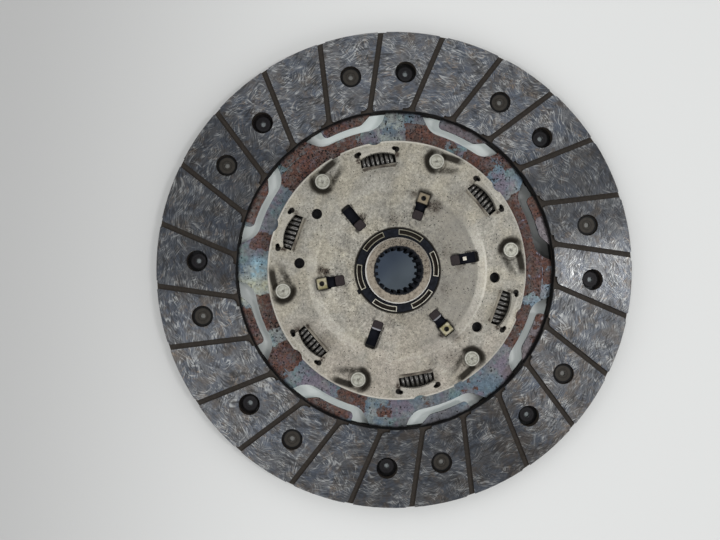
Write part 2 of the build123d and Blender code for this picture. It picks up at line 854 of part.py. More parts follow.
def bearing_ring():
    """The plastic ring round the hub on the gearbox side, hooked into the retainer plate."""
    inner = hub_r + hub_running_gap
    outer = retainer_bore_r - ring_clearance
    low = flange_top + seat_gap
    shoulder = low + ring_flange_thickness
    profile = [
        (inner, low),
        (ring_flange_r, low),
        (ring_flange_r, shoulder),
        (outer, shoulder),
        (outer, ring_top),
        (inner, ring_top),
    ]
    body = turned_profile(profile)
    hook_top = dish_top - hook_below_top
    hook = radial_slot(
        slot_inner_r + hook_gap,
        hook_outer_r,
        slot_width - 2 * hook_gap,
        slot_corner - hook_gap,
        shoulder - key_root,
        hook_top,
    )
    key_length = ring_key_length - ring_clearance
    key_outline = Rectangle(key_length + 2 * key_root, ring_key_width - 2 * ring_clearance)
    key = Pos(outer + key_length / 2 - key_root, 0, shoulder - key_root) * extrude(
        key_outline, ring_top - shoulder + key_root
    )
    half = ring_pocket_half_deg
    lip_deg = math.degrees(ring_lip / ring_pocket_inner_r)
    rim = sector(
        ring_pocket_inner_r - ring_lip, ring_pocket_outer_r + ring_lip, -half - lip_deg, half + lip_deg
    )
    lip = Pos(0, 0, shoulder) * extrude(rim, ring_top + ring_lip_height - shoulder)
    pocket = sector(ring_pocket_inner_r, ring_pocket_outer_r, -half, half)
    hollow = Pos(0, 0, ring_top - ring_pocket_depth) * extrude(pocket, ring_pocket_depth + 1)
    body = body + around(hook, slot_count, slot_first_deg) + turned(key, ring_key_deg)
    body = body + around(lip, slot_count, slot_first_deg)
    return body - around(hollow, slot_count, slot_first_deg)


def control_plate():
    """The friction control plate, whose three pierced lugs stand in the stepped slots."""
    low = dish_under - dia_spring_thickness - control_thickness - 2 * seat_gap
    body = ring(control_inner_r, control_outer_r, low, low + control_thickness)
    lug_top = dish_top - 2 * hook_below_top
    width = slot_wide - 2 * hook_gap
    lug = radial_slot(
        control_lug_inner_r, control_lug_outer_r, width, control_lug_corner, low, lug_top
    )
    middle = polar((control_lug_inner_r + control_lug_outer_r) / 2, 0)
    hole = post(control_lug_hole_r, lug_top - 2, lug_top + 1, middle)
    return body + at_wide_slots(lug) - at_wide_slots(hole)


def diaphragm_spring():
    """The spring ring between the retainer and control plates, notched round the lugs."""
    low = dish_under - dia_spring_thickness - seat_gap
    high = low + dia_spring_thickness
    body = ring(dia_spring_inner_r, dia_spring_outer_r, low, high)
    notch_inner_r = control_lug_inner_r - 2 * hook_gap
    notch_outer_r = dia_spring_outer_r + control_lug_length
    notch_width = slot_wide + hook_gap
    notch = radial_slot(
        notch_inner_r, notch_outer_r, notch_width, control_lug_corner, low - 1, high + 1
    )
    tab = Pos(dia_tab_r, 0, low) * extrude(
        Rectangle(dia_tab_width, dia_tab_width), dish_top - 3 * hook_below_top - low
    )
    return body - at_wide_slots(notch) + turned(tab, slot_first_deg)


def gearbox_washer():
    """The friction washer between the control plate and the hub flange."""
    low = flange_top + seat_gap
    high = dish_under - dia_spring_thickness - control_thickness - 3 * seat_gap
    return ring(control_inner_r, washer_outer_r, low, high)


def flywheel_bush():
    """The plastic bush that centres the hub in the drive plate."""
    low = drive_dish_bottom
    seat = drive_dish_top + seat_gap
    profile = [
        (hub_lower_r + hub_running_gap, low),
        (drive_bore_r - ring_clearance, low),
        (drive_bore_r - ring_clearance, seat),
        (bush_flange_r, seat),
        (bush_flange_r, flange_bottom - seat_gap),
        (hub_lower_r + hub_running_gap, flange_bottom - seat_gap),
    ]
    return turned_profile(profile)


def flywheel_washer():
    """The friction washer that bears on the flange's lower face."""
    high = flange_bottom - seat_gap
    inner = bush_flange_r + washer_inset
    outer = dish_inner_r - washer_inset
    return ring(inner, outer, high - washer_thickness, high)


def cone_spring():
    """The cone spring that presses the lower washer against the flange."""
    low = drive_dish_top + seat_gap
    high = flange_bottom - 2 * seat_gap - washer_thickness
    inner = bush_flange_r + washer_inset + cone_spring_inset
    outer = dish_inner_r - washer_inset - cone_spring_inset
    profile = [
        (inner, high - dia_spring_thickness),
        (outer, low),
        (outer, low + dia_spring_thickness),
        (inner, high),
    ]
    return turned_profile(profile)


def damper_springs():
    """The six damper springs in their windows."""
    mean_r = spring_outer_r - spring_wire_r
    coil = coil_spring(mean_r, spring_wire_r, spring_length, spring_turns, spring_facets)
    springs = {}
    for index in range(spring_count):
        place = spring_place(spring_first_deg + 360.0 / spring_count * index, spring_circle_r)
        springs[f"damper_spring_{index + 1}"] = place * coil
    return springs


def idle_springs():
    """The four small springs of the idle stage."""
    mean_r = idle_outer_r - idle_wire_r
    coil = coil_spring(mean_r, idle_wire_r, idle_length, idle_turns, idle_facets)
    springs = {}
    for index in range(idle_spring_count):
        place = spring_place(360.0 / idle_spring_count * index, idle_circle_r)
        springs[f"idle_spring_{index + 1}"] = place * coil
    return springs


nodes = {
    **facing_set(),
    "cushion_plate": cushion_plate(),
    "retainer_plate": retainer_plate(),
    "drive_plate": drive_plate(),
    "stop_rivets": stop_rivets(),
    "hub_flange": hub_flange(),
    "hub": hub(),
    "bearing_ring_gearbox_side": bearing_ring(),
    "control_plate": control_plate(),
    "diaphragm_spring": diaphragm_spring(),
    "friction_washer_gearbox_side": gearbox_washer(),
    "bearing_bush_flywheel_side": flywheel_bush(),
    "friction_washer_flywheel_side": flywheel_washer(),
    "cone_spring_flywheel_side": cone_spring(),
    **damper_springs(),
    **idle_springs(),
}

for name, solid in nodes.items():
    export_step(solid, f"parts/{name}.step")
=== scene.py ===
import math

import bpy
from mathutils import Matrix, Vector


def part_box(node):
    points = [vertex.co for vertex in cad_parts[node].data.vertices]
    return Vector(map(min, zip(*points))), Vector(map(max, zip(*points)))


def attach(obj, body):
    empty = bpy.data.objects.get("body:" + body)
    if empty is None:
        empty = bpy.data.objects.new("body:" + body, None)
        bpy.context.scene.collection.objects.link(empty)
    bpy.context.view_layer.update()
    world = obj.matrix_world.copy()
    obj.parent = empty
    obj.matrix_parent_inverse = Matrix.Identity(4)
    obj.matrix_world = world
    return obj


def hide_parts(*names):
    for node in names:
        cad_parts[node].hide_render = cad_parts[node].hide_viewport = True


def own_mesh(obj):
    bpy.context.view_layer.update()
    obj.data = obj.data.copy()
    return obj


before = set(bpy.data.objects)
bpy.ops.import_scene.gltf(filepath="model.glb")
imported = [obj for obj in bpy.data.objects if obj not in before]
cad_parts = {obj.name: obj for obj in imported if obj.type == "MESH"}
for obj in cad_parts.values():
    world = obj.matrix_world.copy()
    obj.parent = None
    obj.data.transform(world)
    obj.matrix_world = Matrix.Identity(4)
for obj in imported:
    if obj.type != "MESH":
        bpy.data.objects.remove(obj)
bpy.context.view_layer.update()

# ==== The view =======================================================================
# The disc lies flat with its gearbox side up, and the camera hangs nearly straight over
# it, a little to the left of the axis. Colours are shown as they are written.

camera_place = Vector((-0.02414, 0.00127, 0.28041))
camera_tilt = (math.radians(-0.23), math.radians(-1.226), 0.0)
sensor_width = 36.0
focal_length = 27.05

camera_data = bpy.data.cameras.new("camera")
camera_data.sensor_width = sensor_width
camera_data.lens = focal_length
camera = bpy.data.objects.new("camera", camera_data)
camera.location = camera_place
camera.rotation_euler = camera_tilt
bpy.context.scene.collection.objects.link(camera)
bpy.context.scene.camera = camera
bpy.context.scene.view_settings.view_transform = "Standard"


# ==== The table and the light ========================================================
# A pale matt table with painted shade on one side, under soft light that comes from all
# round and leaves the place straight above the disc dimmer, so that edges catch it.
# Painted shadow shows slate blue through the bore; the windows show painted shade and glow.

mm_per_m = 1000.0


class Field:
    """A value that varies from point to point; arithmetic on it adds Math nodes."""

    def __init__(self, tree, socket):
        self.tree = tree
        self.socket = socket

    def math(self, operation, *others):
        node = add_node(self.tree, "ShaderNodeMath", operation=operation)
        for place, value in enumerate((self, *others)):
            plug(self.tree, node.inputs[place], value)
        return Field(self.tree, node.outputs[0])

    def __add__(self, other):
        return self.math("ADD", other)

    def __sub__(self, other):
        return self.math("SUBTRACT", other)

    def __mul__(self, other):
        return self.math("MULTIPLY", other)

    def __truediv__(self, other):
        return self.math("DIVIDE", other)

    def __neg__(self):
        return self.math("MULTIPLY", -1.0)

    def inverse(self):
        """One minus the value."""
        return -self + 1.0

    def least(self, other):
        return self.math("MINIMUM", other)

    def most(self, other):
        return self.math("MAXIMUM", other)

    def size(self):
        return self.math("ABSOLUTE")

    def ease(self, low, high):
        """A smooth step from 0 at low to 1 at high; low may be the larger."""
        inputs = {"Value": self, "From Min": low, "From Max": high}
        node = add_node(self.tree, "ShaderNodeMapRange", inputs, interpolation_type="SMOOTHSTEP")
        return Field(self.tree, node.outputs[0])

    def band(self, middle, half, soft):
        """One within half of the middle, falling to 0 over the soft width outside it."""
        return (self - middle).size().ease(half + soft, half)


def plug(tree, socket, value):
    """Give a node's input a value, a field or another node's output."""
    if isinstance(value, Field):
        value = value.socket
    if isinstance(value, bpy.types.NodeSocket):
        tree.links.new(value, socket)
    else:
        socket.default_value = value


def add_node(tree, kind, inputs=None, **settings):
    """A new node with its settings made and its inputs plugged."""
    node = tree.nodes.new(kind)
    for name, value in settings.items():
        setattr(node, name, value)
    for name, value in (inputs or {}).items():
        plug(tree, node.inputs[name], value)
    return node


class Finish:
    """A procedural finish laid out in millimetres about the disc's axis."""

    def __init__(self, name, metallic=0.0, roughness=0.5, gloss=0.5):
        self.material = bpy.data.materials.new(name)
        self.material.use_nodes = True
        self.tree = self.material.node_tree
        self.shader = self.tree.nodes["Principled BSDF"]
        self.shader.inputs["Metallic"].default_value = metallic
        self.shader.inputs["Roughness"].default_value = roughness
        self.shader.inputs["Specular IOR Level"].default_value = gloss
        place = add_node(self.tree, "ShaderNodeTexCoord").outputs["Object"]
        scaled = {0: place, "Scale": mm_per_m}
        self.place = add_node(self.tree, "ShaderNodeVectorMath", scaled, operation="SCALE").outputs[0]
        parts = add_node(self.tree, "ShaderNodeSeparateXYZ", {0: self.place})
        self.x, self.y, self.z = [Field(self.tree, socket) for socket in parts.outputs]
        self.radius = (self.x * self.x + self.y * self.y).math("SQRT")
        self.turn = self.y.math("ARCTAN2", self.x)
        self.degrees = self.turn * math.degrees(1.0)

    def vector(self, x, y, z=0.0):
        """Three fields or numbers as one vector."""
        return add_node(self.tree, "ShaderNodeCombineXYZ", {0: x, 1: y, 2: z}).outputs[0]

    def folded(self, first, count):
        """Degrees from the nearest of a number of places at equal angles."""
        step = 360.0 / count
        return (self.degrees - (first - step / 2)).math("FLOORED_MODULO", step) - step / 2

    def noise(self, size, detail=2.0, rough=0.5, place=None, shift=0.0):
        """Noise from 0 to 1 with features of a size in millimetres; each shift is another pattern."""
        inputs = {
            "Vector": place or self.place,
            "W": shift,
            "Scale": 1.0 / size,
            "Detail": detail,
            "Roughness": rough,
        }
        node = add_node(self.tree, "ShaderNodeTexNoise", inputs, noise_dimensions="4D")
        return Field(self.tree, node.outputs[0])

    def mix(self, mask, low, high):
        """One colour where the mask is 0 and another where it is 1."""
        node = add_node(self.tree, "ShaderNodeMix", data_type="RGBA")
        plug(self.tree, node.inputs[0], mask)
        for socket, colour in ((node.inputs[6], low), (node.inputs[7], high)):
            plug(self.tree, socket, (*colour, 1.0) if isinstance(colour, tuple) else colour)
        return node.outputs[2]

    def shade(self, colour, amount):
        """A colour made lighter or darker by a field."""
        inputs = {0: colour, "Scale": amount}
        return add_node(self.tree, "ShaderNodeVectorMath", inputs, operation="SCALE").outputs[0]

    def arcs(self, places, soft):
        """A mask over listed arcs of the disc: middle and half width in degrees, and strength."""
        mask = None
        for middle, half, strength in places:
            arc = self.folded(middle, 1).size().ease(half + soft, half) * strength
            mask = arc if mask is None else mask.most(arc)
        return mask

    def specks(self, size, radius, share, shift=0.0):
        """Small ragged dots: one at most in each cell, of a largest radius, in a share of the cells."""
        ragged = (self.noise(radius, 1.0, shift=shift) - 0.5) * radius
        place = self.vector(self.x + shift, self.y - shift)
        inputs = {"Vector": place, "Scale": 1.0 / size, "Randomness": 1.0}
        cell = add_node(self.tree, "ShaderNodeTexVoronoi", inputs, voronoi_dimensions="2D")
        draws = add_node(self.tree, "ShaderNodeSeparateColor", {0: cell.outputs["Color"]})
        kept = Field(self.tree, draws.outputs[0]).ease(share + 0.02, share)
        reach = Field(self.tree, draws.outputs[1]) * radius
        away = Field(self.tree, cell.outputs["Distance"]) * size + ragged
        return (away / reach.most(0.01)).ease(1.1, 0.7) * kept

    def relief(self, height, depth):
        """Bump from a height between 0 and 1, with its depth in millimetres."""
        inputs = {"Height": height, "Distance": depth / mm_per_m, "Strength": 1.0}
        bump = add_node(self.tree, "ShaderNodeBump", inputs)
        plug(self.tree, self.shader.inputs["Normal"], bump.outputs[0])

    def give(self, **sockets):
        """Plug fields or colours into the shader: colour, metal, rough."""
        names = {"colour": "Base Color", "metal": "Metallic", "rough": "Roughness"}
        for word, value in sockets.items():
            plug(self.tree, self.shader.inputs[names[word]], value)

    def dress(self, *nodes):
        """Put the finish on CAD nodes."""
        for name in nodes:
            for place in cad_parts[name].material_slots:
                place.material = self.material


table_half = 4.0
table_light = (0.71, 0.715, 0.705)
table_painted_shade = (0.45, 0.45, 0.445)
table_shade_x = -245.0
bore_painted_shadow = (0.062, 0.080, 0.110)
bore_painted_shadow_light = (0.115, 0.140, 0.165)
bore_r = 12.0
bore_painted_glow = 0.45
gap_inner_r = 60.0
gap_outer_r = 84.0
gap_painted_glow = 0.22
gap_glow_tint = (0.82, 1.0, 0.97)
gap_arcs = (
    # middle in degrees, half width, strength of the painted light on the table there
    (65.0, 10.0, 0.85),
    (106.0, 10.0, 1.0),
    (150.0, 14.0, 0.75),
    (195.0, 14.0, 0.60),
    (240.0, 12.0, 0.85),
    (283.0, 12.0, 0.80),
    (330.0, 12.0, 0.66),
    (24.0, 6.0, 0.30),
)

table_mesh = bpy.data.meshes.new("table")
corners = [(-1, -1), (1, -1), (1, 1), (-1, 1)]
table_mesh.from_pydata([(x * table_half, y * table_half, 0.0) for x, y in corners], [], [(0, 1, 2, 3)])
table = bpy.data.objects.new("table", table_mesh)
bpy.context.scene.collection.objects.link(table)

table_finish = Finish("table_top", roughness=0.9, gloss=0.1)
# Painted shade: the table is darker towards one side.
side_shade = (table_finish.x - table_finish.y * 0.15).ease(table_shade_x, 0.0)
table_colour = table_finish.mix(side_shade, table_painted_shade, table_light)
# Under the windows: painted shade on the table, lifted where the arcs paint light, and a painted glow.
under_gaps = table_finish.radius.ease(gap_inner_r, gap_inner_r + 4.0)
under_gaps = under_gaps * table_finish.radius.ease(gap_outer_r, gap_outer_r - 2.0)
gap_painted_light = table_finish.arcs(gap_arcs, 14.0)
gap_shade = under_gaps * (gap_painted_light.ease(0.0, 0.8) * 0.86 - 0.86) + 1.0
table_colour = table_finish.shade(table_colour, gap_shade)
# Under the bore: painted shadow in slate blue, lighter to one side, and a painted glow that only the camera
# sees.
bore_shadow = table_finish.mix((table_finish.x - table_finish.y).ease(-9.0, 9.0), bore_painted_shadow, bore_painted_shadow_light)
under_bore = table_finish.radius.ease(bore_r + 2.0, bore_r)
table_finish.give(colour=table_finish.mix(under_bore, table_colour, bore_shadow))
painted_glow = (under_gaps * gap_painted_light * gap_painted_light * gap_painted_glow).most(under_bore * bore_painted_glow)
painted_glow_colour = table_finish.mix(under_bore, gap_glow_tint, bore_shadow)
plug(table_finish.tree, table_finish.shader.inputs["Emission Color"], painted_glow_colour)
seen = Field(table_finish.tree, add_node(table_finish.tree, "ShaderNodeLightPath").outputs["Is Camera Ray"])
plug(table_finish.tree, table_finish.shader.inputs["Emission Strength"], painted_glow * seen)
table_mesh.materials.append(table_finish.material)

sky_low = 0.62
sky_high = 0.30
sky_colour = (0.97, 0.985, 1.0, 1.0)
dims_from = 0.45
dims_to = 0.95
sky = bpy.data.worlds.new("sky")
sky.use_nodes = True
sky_tree = sky.node_tree
backdrop = sky_tree.nodes["Background"]
backdrop.inputs["Color"].default_value = sky_colour
direction = add_node(sky_tree, "ShaderNodeTexCoord").outputs["Generated"]
rise = Field(sky_tree, add_node(sky_tree, "ShaderNodeSeparateXYZ", {0: direction}).outputs[2])
strength = rise.ease(dims_from, dims_to) * (sky_high - sky_low) + sky_low
plug(sky_tree, backdrop.inputs["Strength"], strength)
bpy.context.scene.world = sky

lamps = {
    # place, width along the disc's edge, width towards the disc, watts
    "lamp_right": ((0.49, 0.0, 0.80), 0.10, 0.22, 2.0),
    "lamp_lower_left": ((-0.34, -0.24, 0.80), 0.30, 0.22, 1.0),
    "lamp_far": ((0.05, 0.85, 0.75), 0.80, 0.80, 2.6),
    "lamp_near": ((0.10, -0.90, 0.70), 0.80, 0.80, 2.6),
    "lamp_left": ((-0.95, 0.15, 0.65), 0.80, 0.80, 2.2),
}
for name, (place, width, depth, watts) in lamps.items():
    lamp_data = bpy.data.lights.new(name, "AREA")
    lamp_data.shape = "ELLIPSE"
    lamp_data.size = width
    lamp_data.size_y = depth
    lamp_data.energy = watts
    lamp = bpy.data.objects.new(name, lamp_data)
    lamp.location = place
    lamp.rotation_euler = (-Vector(place)).to_track_quat("-Z", "Y").to_euler()
    bpy.context.scene.collection.objects.link(lamp)


# ==== Friction facings ===============================================================
# Two moulded rings of fibre-filled lining, pressed from wound yarn, so that the strands
# run round the ring in loops. The ground pads shine a little; the grooves stay dull.

pad_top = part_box("facing_gearbox_side")[1].z * mm_per_m
pad_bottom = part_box("facing_flywheel_side")[0].z * mm_per_m
facing_inner_r = 80.5
facing_outer_r = 120.0
groove_count = 24
pad_shift = 7.3
groove_outer_deg = 3.7
groove_lean_deg = 6.0
lining_blue = (0.060, 0.071, 0.092)
lining_grey = (0.065, 0.067, 0.073)
lining_brown = (0.068, 0.056, 0.047)
fibre_white = (0.50, 0.51, 0.50)
fibre_brass = (0.26, 0.20, 0.145)
fibre_dark = (0.012, 0.012, 0.013)
groove_brown = (0.030, 0.024, 0.019)
inner_wall_painted_shadow = (0.006, 0.006, 0.006)
painted_sheen_arcs = (
    # middle in degrees, half width, strength of the painted sheen on the strands there
    (-0.5, 3.0, 1.6),
    (75.0, 32.0, 0.62),
    (120.0, 8.0, 0.50),
    (213.0, 20.0, 0.60),
    (240.0, 10.0, 0.40),
    (331.0, 13.0, 0.75),
)
warm_arcs = (
    (322.0, 20.0, 0.6),
    (262.0, 18.0, 0.4),
    (205.0, 15.0, 0.4),
)
yarns = (
    # length and width of the marks in mm, swirl in mm, lean, strength
    (18.0, 2.6, 12.0, 0.00, 0.30),
    (10.0, 0.85, 24.0, -0.30, 0.40),
    (10.0, 0.75, 24.0, 0.45, 0.30),
)
flecks = (
    # length and width in mm, swirl in mm, lean, half width, share, warmth
    (12.0, 1.10, 26.0, 0.10, 0.022, 0.48, 0.2),
    (10.0, 1.00, 30.0, -0.60, 0.022, 0.49, 0.6),
    (11.0, 1.00, 30.0, 0.80, 0.024, 0.50, 0.5),
    (9.0, 0.90, 26.0, 0.30, 0.028, 0.54, 0.0),
)


class Lining(Finish):
    """The facings' finish, with the strands laid round the disc pad by pad."""

    def __init__(self, name):
        super().__init__(name, roughness=0.42, gloss=0.25)
        pad_deg = 360.0 / groove_count
        inwards = self.radius * -1.0 + facing_outer_r
        line = inwards * (groove_lean_deg / (facing_outer_r - facing_inner_r)) + groove_outer_deg
        pads = (self.degrees - line) / pad_deg
        self.pad = pads.math("FLOOR")
        self.along = (pads - self.pad - 0.5) * math.radians(pad_deg) * self.radius

    def strands(self, length, width, swirl, lean, shift):
        """Noise drawn out along strands that swirl as they go round."""
        sway = (self.noise(18.0, 0.0, shift=shift) - 0.5) * swirl
        along = self.along + self.radius * lean
        side_shade = self.radius - self.along * lean + sway
        place = self.vector(along / length, side_shade / width, self.pad * pad_shift + shift)
        return self.noise(1.0, 1.0, 0.4, place=place, shift=shift)


lining = Lining("moulded_lining")

# The lie of the wound yarn, then the base colour in blue, grey and brown patches.
lie = None
for index, (length, width, swirl, lean, strength) in enumerate(yarns):
    layer = lining.strands(length, width, swirl, lean, 13.0 + 29.0 * index).ease(0.28, 0.72) * strength
    lie = layer if lie is None else lie + layer
patches = lining.noise(9.0, 3.0, 0.6, shift=2.0)
warm_patches = lining.noise(6.0, 3.0, 0.6, shift=8.0)
colour = lining.mix(patches.ease(0.38, 0.62), lining_blue, lining_grey)
warm_share = warm_patches + lining.arcs(warm_arcs, 12.0) * 0.10
colour = lining.mix(warm_share.ease(0.52, 0.66) * 0.75, colour, lining_brown)
# Painted sheen and glints in listed arcs: the strands and the pale fibres are drawn lighter there.
painted_sheen = lining.arcs(painted_sheen_arcs, 12.0)
tone = lie * 0.84 + patches.ease(0.3, 0.7) * 0.22 + 0.36
colour = lining.shade(colour, tone * (painted_sheen * 0.95 + 0.62))

# Pale fibres and brass threads, broken into clusters, with some dark strands between them.
light = None
for index, (length, width, swirl, lean, half, share, warm) in enumerate(flecks):
    shift = 101.0 + 31.0 * index
    line = (lining.strands(length, width, swirl, lean, shift) - 0.5).size().ease(half * 1.7, half * 0.3)
    cluster = lining.noise(8.0, 2.0, 0.6, shift=shift + 5.0).ease(share - 0.05, share + 0.07)
    broken = lining.noise(4.5, 1.0, shift=shift + 9.0).ease(0.42, 0.56)
    mask = line * (cluster * 0.80 + painted_sheen * 0.20) * (broken * 0.8 + 0.2)
    tinted = lining.noise(5.0, 1.0, shift=shift + 13.0).ease(0.62 - warm * 0.2, 0.70 - warm * 0.2)
    colour = lining.mix(mask * (painted_sheen * 0.42 + 0.34), colour, lining.mix(tinted, fibre_white, fibre_brass))
    light = mask if light is None else light.most(mask)
dark = (lining.strands(10.0, 1.8, 20.0, -0.15, 211.0) - 0.5).size().ease(0.060, 0.015)
dark = dark * lining.noise(6.0, 2.0, shift=215.0).ease(0.46, 0.58)
colour = lining.mix(dark * 0.65, colour, fibre_dark)

# The grooves' floors and outer wall stay dull and dark; the inner wall is painted black as shadow.
middle_height = (pad_top + pad_bottom) / 2
half_height = pad_top - middle_height
below_face = (lining.z - middle_height).size().ease(half_height - 0.12, half_height - 0.5)
outer_wall = lining.radius.ease(facing_outer_r - 0.25, facing_outer_r - 0.05)
inner_wall = lining.radius.ease(facing_inner_r + 0.25, facing_inner_r + 0.05)
sunk = below_face.most(outer_wall)
groove_colour = lining.shade(groove_brown, lining.noise(1.2, 3.0, shift=4.0) * 0.9 + 0.55)
colour = lining.mix(sunk, colour, groove_colour)
sheen = lie * -0.22 - light * 0.10 - painted_sheen * 0.06 + 0.50
lining.give(colour=lining.mix(inner_wall, colour, inner_wall_painted_shadow), rough=sheen + sunk.most(inner_wall) * 0.35)
height = (lie * 0.6 + light * 0.5 - dark * 0.5) * sunk.inverse() + sunk * lining.noise(0.8, 2.0)
lining.relief(height, 0.07)
lining.dress("facing_gearbox_side", "facing_flywheel_side")


# ==== Facing rivets ==================================================================
# Tubular rivets with flat heads, sixteen in all, their brown heads sunk in the pads.
# Eight are set from each side; the rolled ends of the far eight lie deep, painted dark as shade.

rivet_circle_r = 99.8
rivet_pair_mid = 95.3
rivet_spread = 8.0
rivet_head_r = 4.8
rivet_step_r = 2.3
rivet_eye_r = 1.3
rivet_brown = (0.035, 0.031, 0.026)
rivet_eye_painted_view = (0.17, 0.17, 0.16)
rivet_tail_painted_shade = (0.016, 0.015, 0.017)
rivet_tail_eye_painted_view = (0.20, 0.22, 0.225)
rivet_painted_shadow = (0.004, 0.004, 0.004)

rivet = Finish("rivet_brown", metallic=0.3, roughness=0.5, gloss=0.18)
from_pair = rivet.folded(rivet_pair_mid, 8)
side = (from_pair.size() - rivet_spread) * math.radians(rivet_circle_r)
out = rivet.radius - rivet_circle_r
from_centre = (side * side + out * out).math("SQRT")
tail = from_pair.ease(0.5, -0.5)
colour = rivet.shade(rivet.mix(tail, rivet_brown, rivet_tail_painted_shade), rivet.noise(1.5, 3.0, shift=1.0) * 0.9 + 0.5)
ragged = (rivet.noise(0.9, 2.0) - 0.5) * 0.7
# The eyes are painted pale, as the lit table seen through the hollow rivets.
eye = (from_centre + ragged).ease(rivet_eye_r + 0.15, rivet_eye_r - 0.35)
colour = rivet.mix(eye, colour, rivet.mix(tail, rivet_eye_painted_view, rivet_tail_eye_painted_view))
# Painted shadow: a black rim round each head in its seat, a line at the step, black round the tails.
head_edge = (from_centre + ragged * 0.4).ease(rivet_head_r - 1.05, rivet_head_r - 0.65)
colour = rivet.mix(head_edge * tail.inverse(), colour, rivet_painted_shadow)
step = (from_centre + ragged * 0.5).band(rivet_step_r, 0.10, 0.25) * 0.45
step = step.most((from_centre + ragged * 0.3).ease(rivet_step_r + 1.0, rivet_step_r + 1.5) * tail)
rivet.give(colour=rivet.mix(step, colour, rivet_painted_shadow))
rivet.relief(rivet.noise(0.6, 2.0, shift=2.0), 0.06)
rivet.dress("facing_rivets_gearbox_side", "facing_rivets_flywheel_side")


# ==== Cushion plate ==================================================================
# One sheet of spring steel, blanked into eight paddles and joggled, so that the facings
# meet the flywheel softly. Heat has tinted it blue and violet, and rust sits on the web.

plate_r = 64.0
tongue_inner_r = 75.6
sky_deg = 179.5
gold_deg = 187.5
heat_blue = (0.130, 0.180, 0.225)
heat_grey = (0.165, 0.175, 0.190)
heat_teal = (0.150, 0.230, 0.235)
heat_violet = (0.175, 0.150, 0.190)
heat_gold = (0.480, 0.480, 0.350)
heat_pale = (0.300, 0.330, 0.310)
heat_sky = (0.27, 0.42, 0.50)
tongue_painted_shade = (0.140, 0.118, 0.124)
rust_red = (0.135, 0.060, 0.042)
rust_grey = (0.120, 0.078, 0.062)
rust_dark = (0.050, 0.028, 0.024)
pit_black = (0.009, 0.008, 0.008)
painted_shadow = (0.010, 0.009, 0.009)
rust_arcs = (
    # middle in degrees, half width, strength
    (6.0, 14.0, 0.80),
    (27.0, 4.0, 0.85),
    (53.0, 5.5, 0.75),
    (65.0, 2.5, 0.50),
    (77.0, 7.5, 0.85),
    (112.0, 6.0, 0.75),
    (130.0, 11.5, 1.0),
    (167.5, 2.5, 0.75),
    (198.0, 6.0, 0.90),
    (218.0, 4.5, 1.0),
    (251.0, 5.0, 0.80),
    (265.0, 2.0, 0.60),
    (284.5, 1.5, 0.45),
    (301.0, 2.0, 0.40),
    (336.0, 8.5, 0.80),
    (354.0, 3.0, 0.60),
)
tongue_rust_arcs = (
    (26.0, 4.0, 0.80),
    # painted shade beside the facing, in rust colours
    (47.0, 4.5, 0.60),
    (60.0, 8.0, 0.35),
    (107.0, 9.0, 0.85),
    (151.0, 9.0, 1.0),
    (201.0, 6.0, 0.90),
    (242.0, 9.0, 0.75),
    (338.0, 5.0, 0.45),
    (130.0, 5.0, 1.0),
    (219.0, 4.0, 0.9),
    (0.0, 4.0, 0.7),
)
tongue_shade_arcs = (
    (60.0, 10.0, 0.85),
    (283.0, 10.0, 0.60),
    (331.0, 12.0, 0.90),
    (14.0, 10.0, 0.90),
)
pale_arcs = (
    (92.5, 4.0, 0.9),
    (122.0, 1.5, 0.7),
    (193.0, 3.0, 1.0),
    (185.0, 6.0, 0.7),
    (209.0, 3.0, 0.6),
    (262.0, 3.0, 0.5),
)
pit_arcs = (
    (46.0, 5.0, 1.0),
    (84.0, 5.0, 1.0),
    (98.0, 4.0, 0.8),
    (128.0, 14.0, 1.0),
    (208.0, 8.0, 1.0),
    (236.0, 8.0, 0.6),
    (350.0, 4.0, 0.8),
)

blued = Finish("blued_steel", metallic=0.5, roughness=0.42, gloss=0.14)

# Heat colours, and painted shade on listed arcs of the tongues that carry the facings.
tint = blued.noise(14.0, 2.0, 0.6, shift=1.0)
colour = blued.mix(tint.ease(0.40, 0.60), heat_blue, heat_grey)
colour = blued.mix(blued.noise(10.0, 3.0, 0.6, shift=4.0).ease(0.50, 0.62) * 0.7, colour, heat_teal)
colour = blued.mix(blued.noise(9.0, 3.0, 0.6, shift=6.0).ease(0.50, 0.62) * 0.9, colour, heat_violet)
sky_side = blued.folded(sky_deg, 1).size().ease(7.0, 2.5) * blued.radius.ease(75.0, 72.0)
colour = blued.mix(sky_side * 0.85, colour, heat_sky)
gold_side = blued.folded(gold_deg, 1).size().ease(6.5, 1.5)
gold = gold_side.most(blued.noise(6.0, 2.0, shift=9.0).ease(0.52, 0.66) * 0.12)
colour = blued.mix(gold * 0.85, colour, heat_gold)
pale = blued.arcs(pale_arcs, 2.5) * blued.noise(3.5, 4.0, 0.65, shift=12.0).ease(0.42, 0.56)
colour = blued.mix(pale, colour, heat_pale)
mottle = blued.noise(1.6, 4.0, 0.72, shift=3.0).ease(0.25, 0.75)
colour = blued.shade(colour, mottle * 0.80 + 0.55)
on_tongue = blued.radius.ease(tongue_inner_r - 0.6, tongue_inner_r + 0.4)
tongue_shade = blued.shade(tongue_painted_shade, mottle * 0.9 + 0.5)
colour = blued.mix(on_tongue * blued.arcs(tongue_shade_arcs, 5.0), colour, tongue_shade)

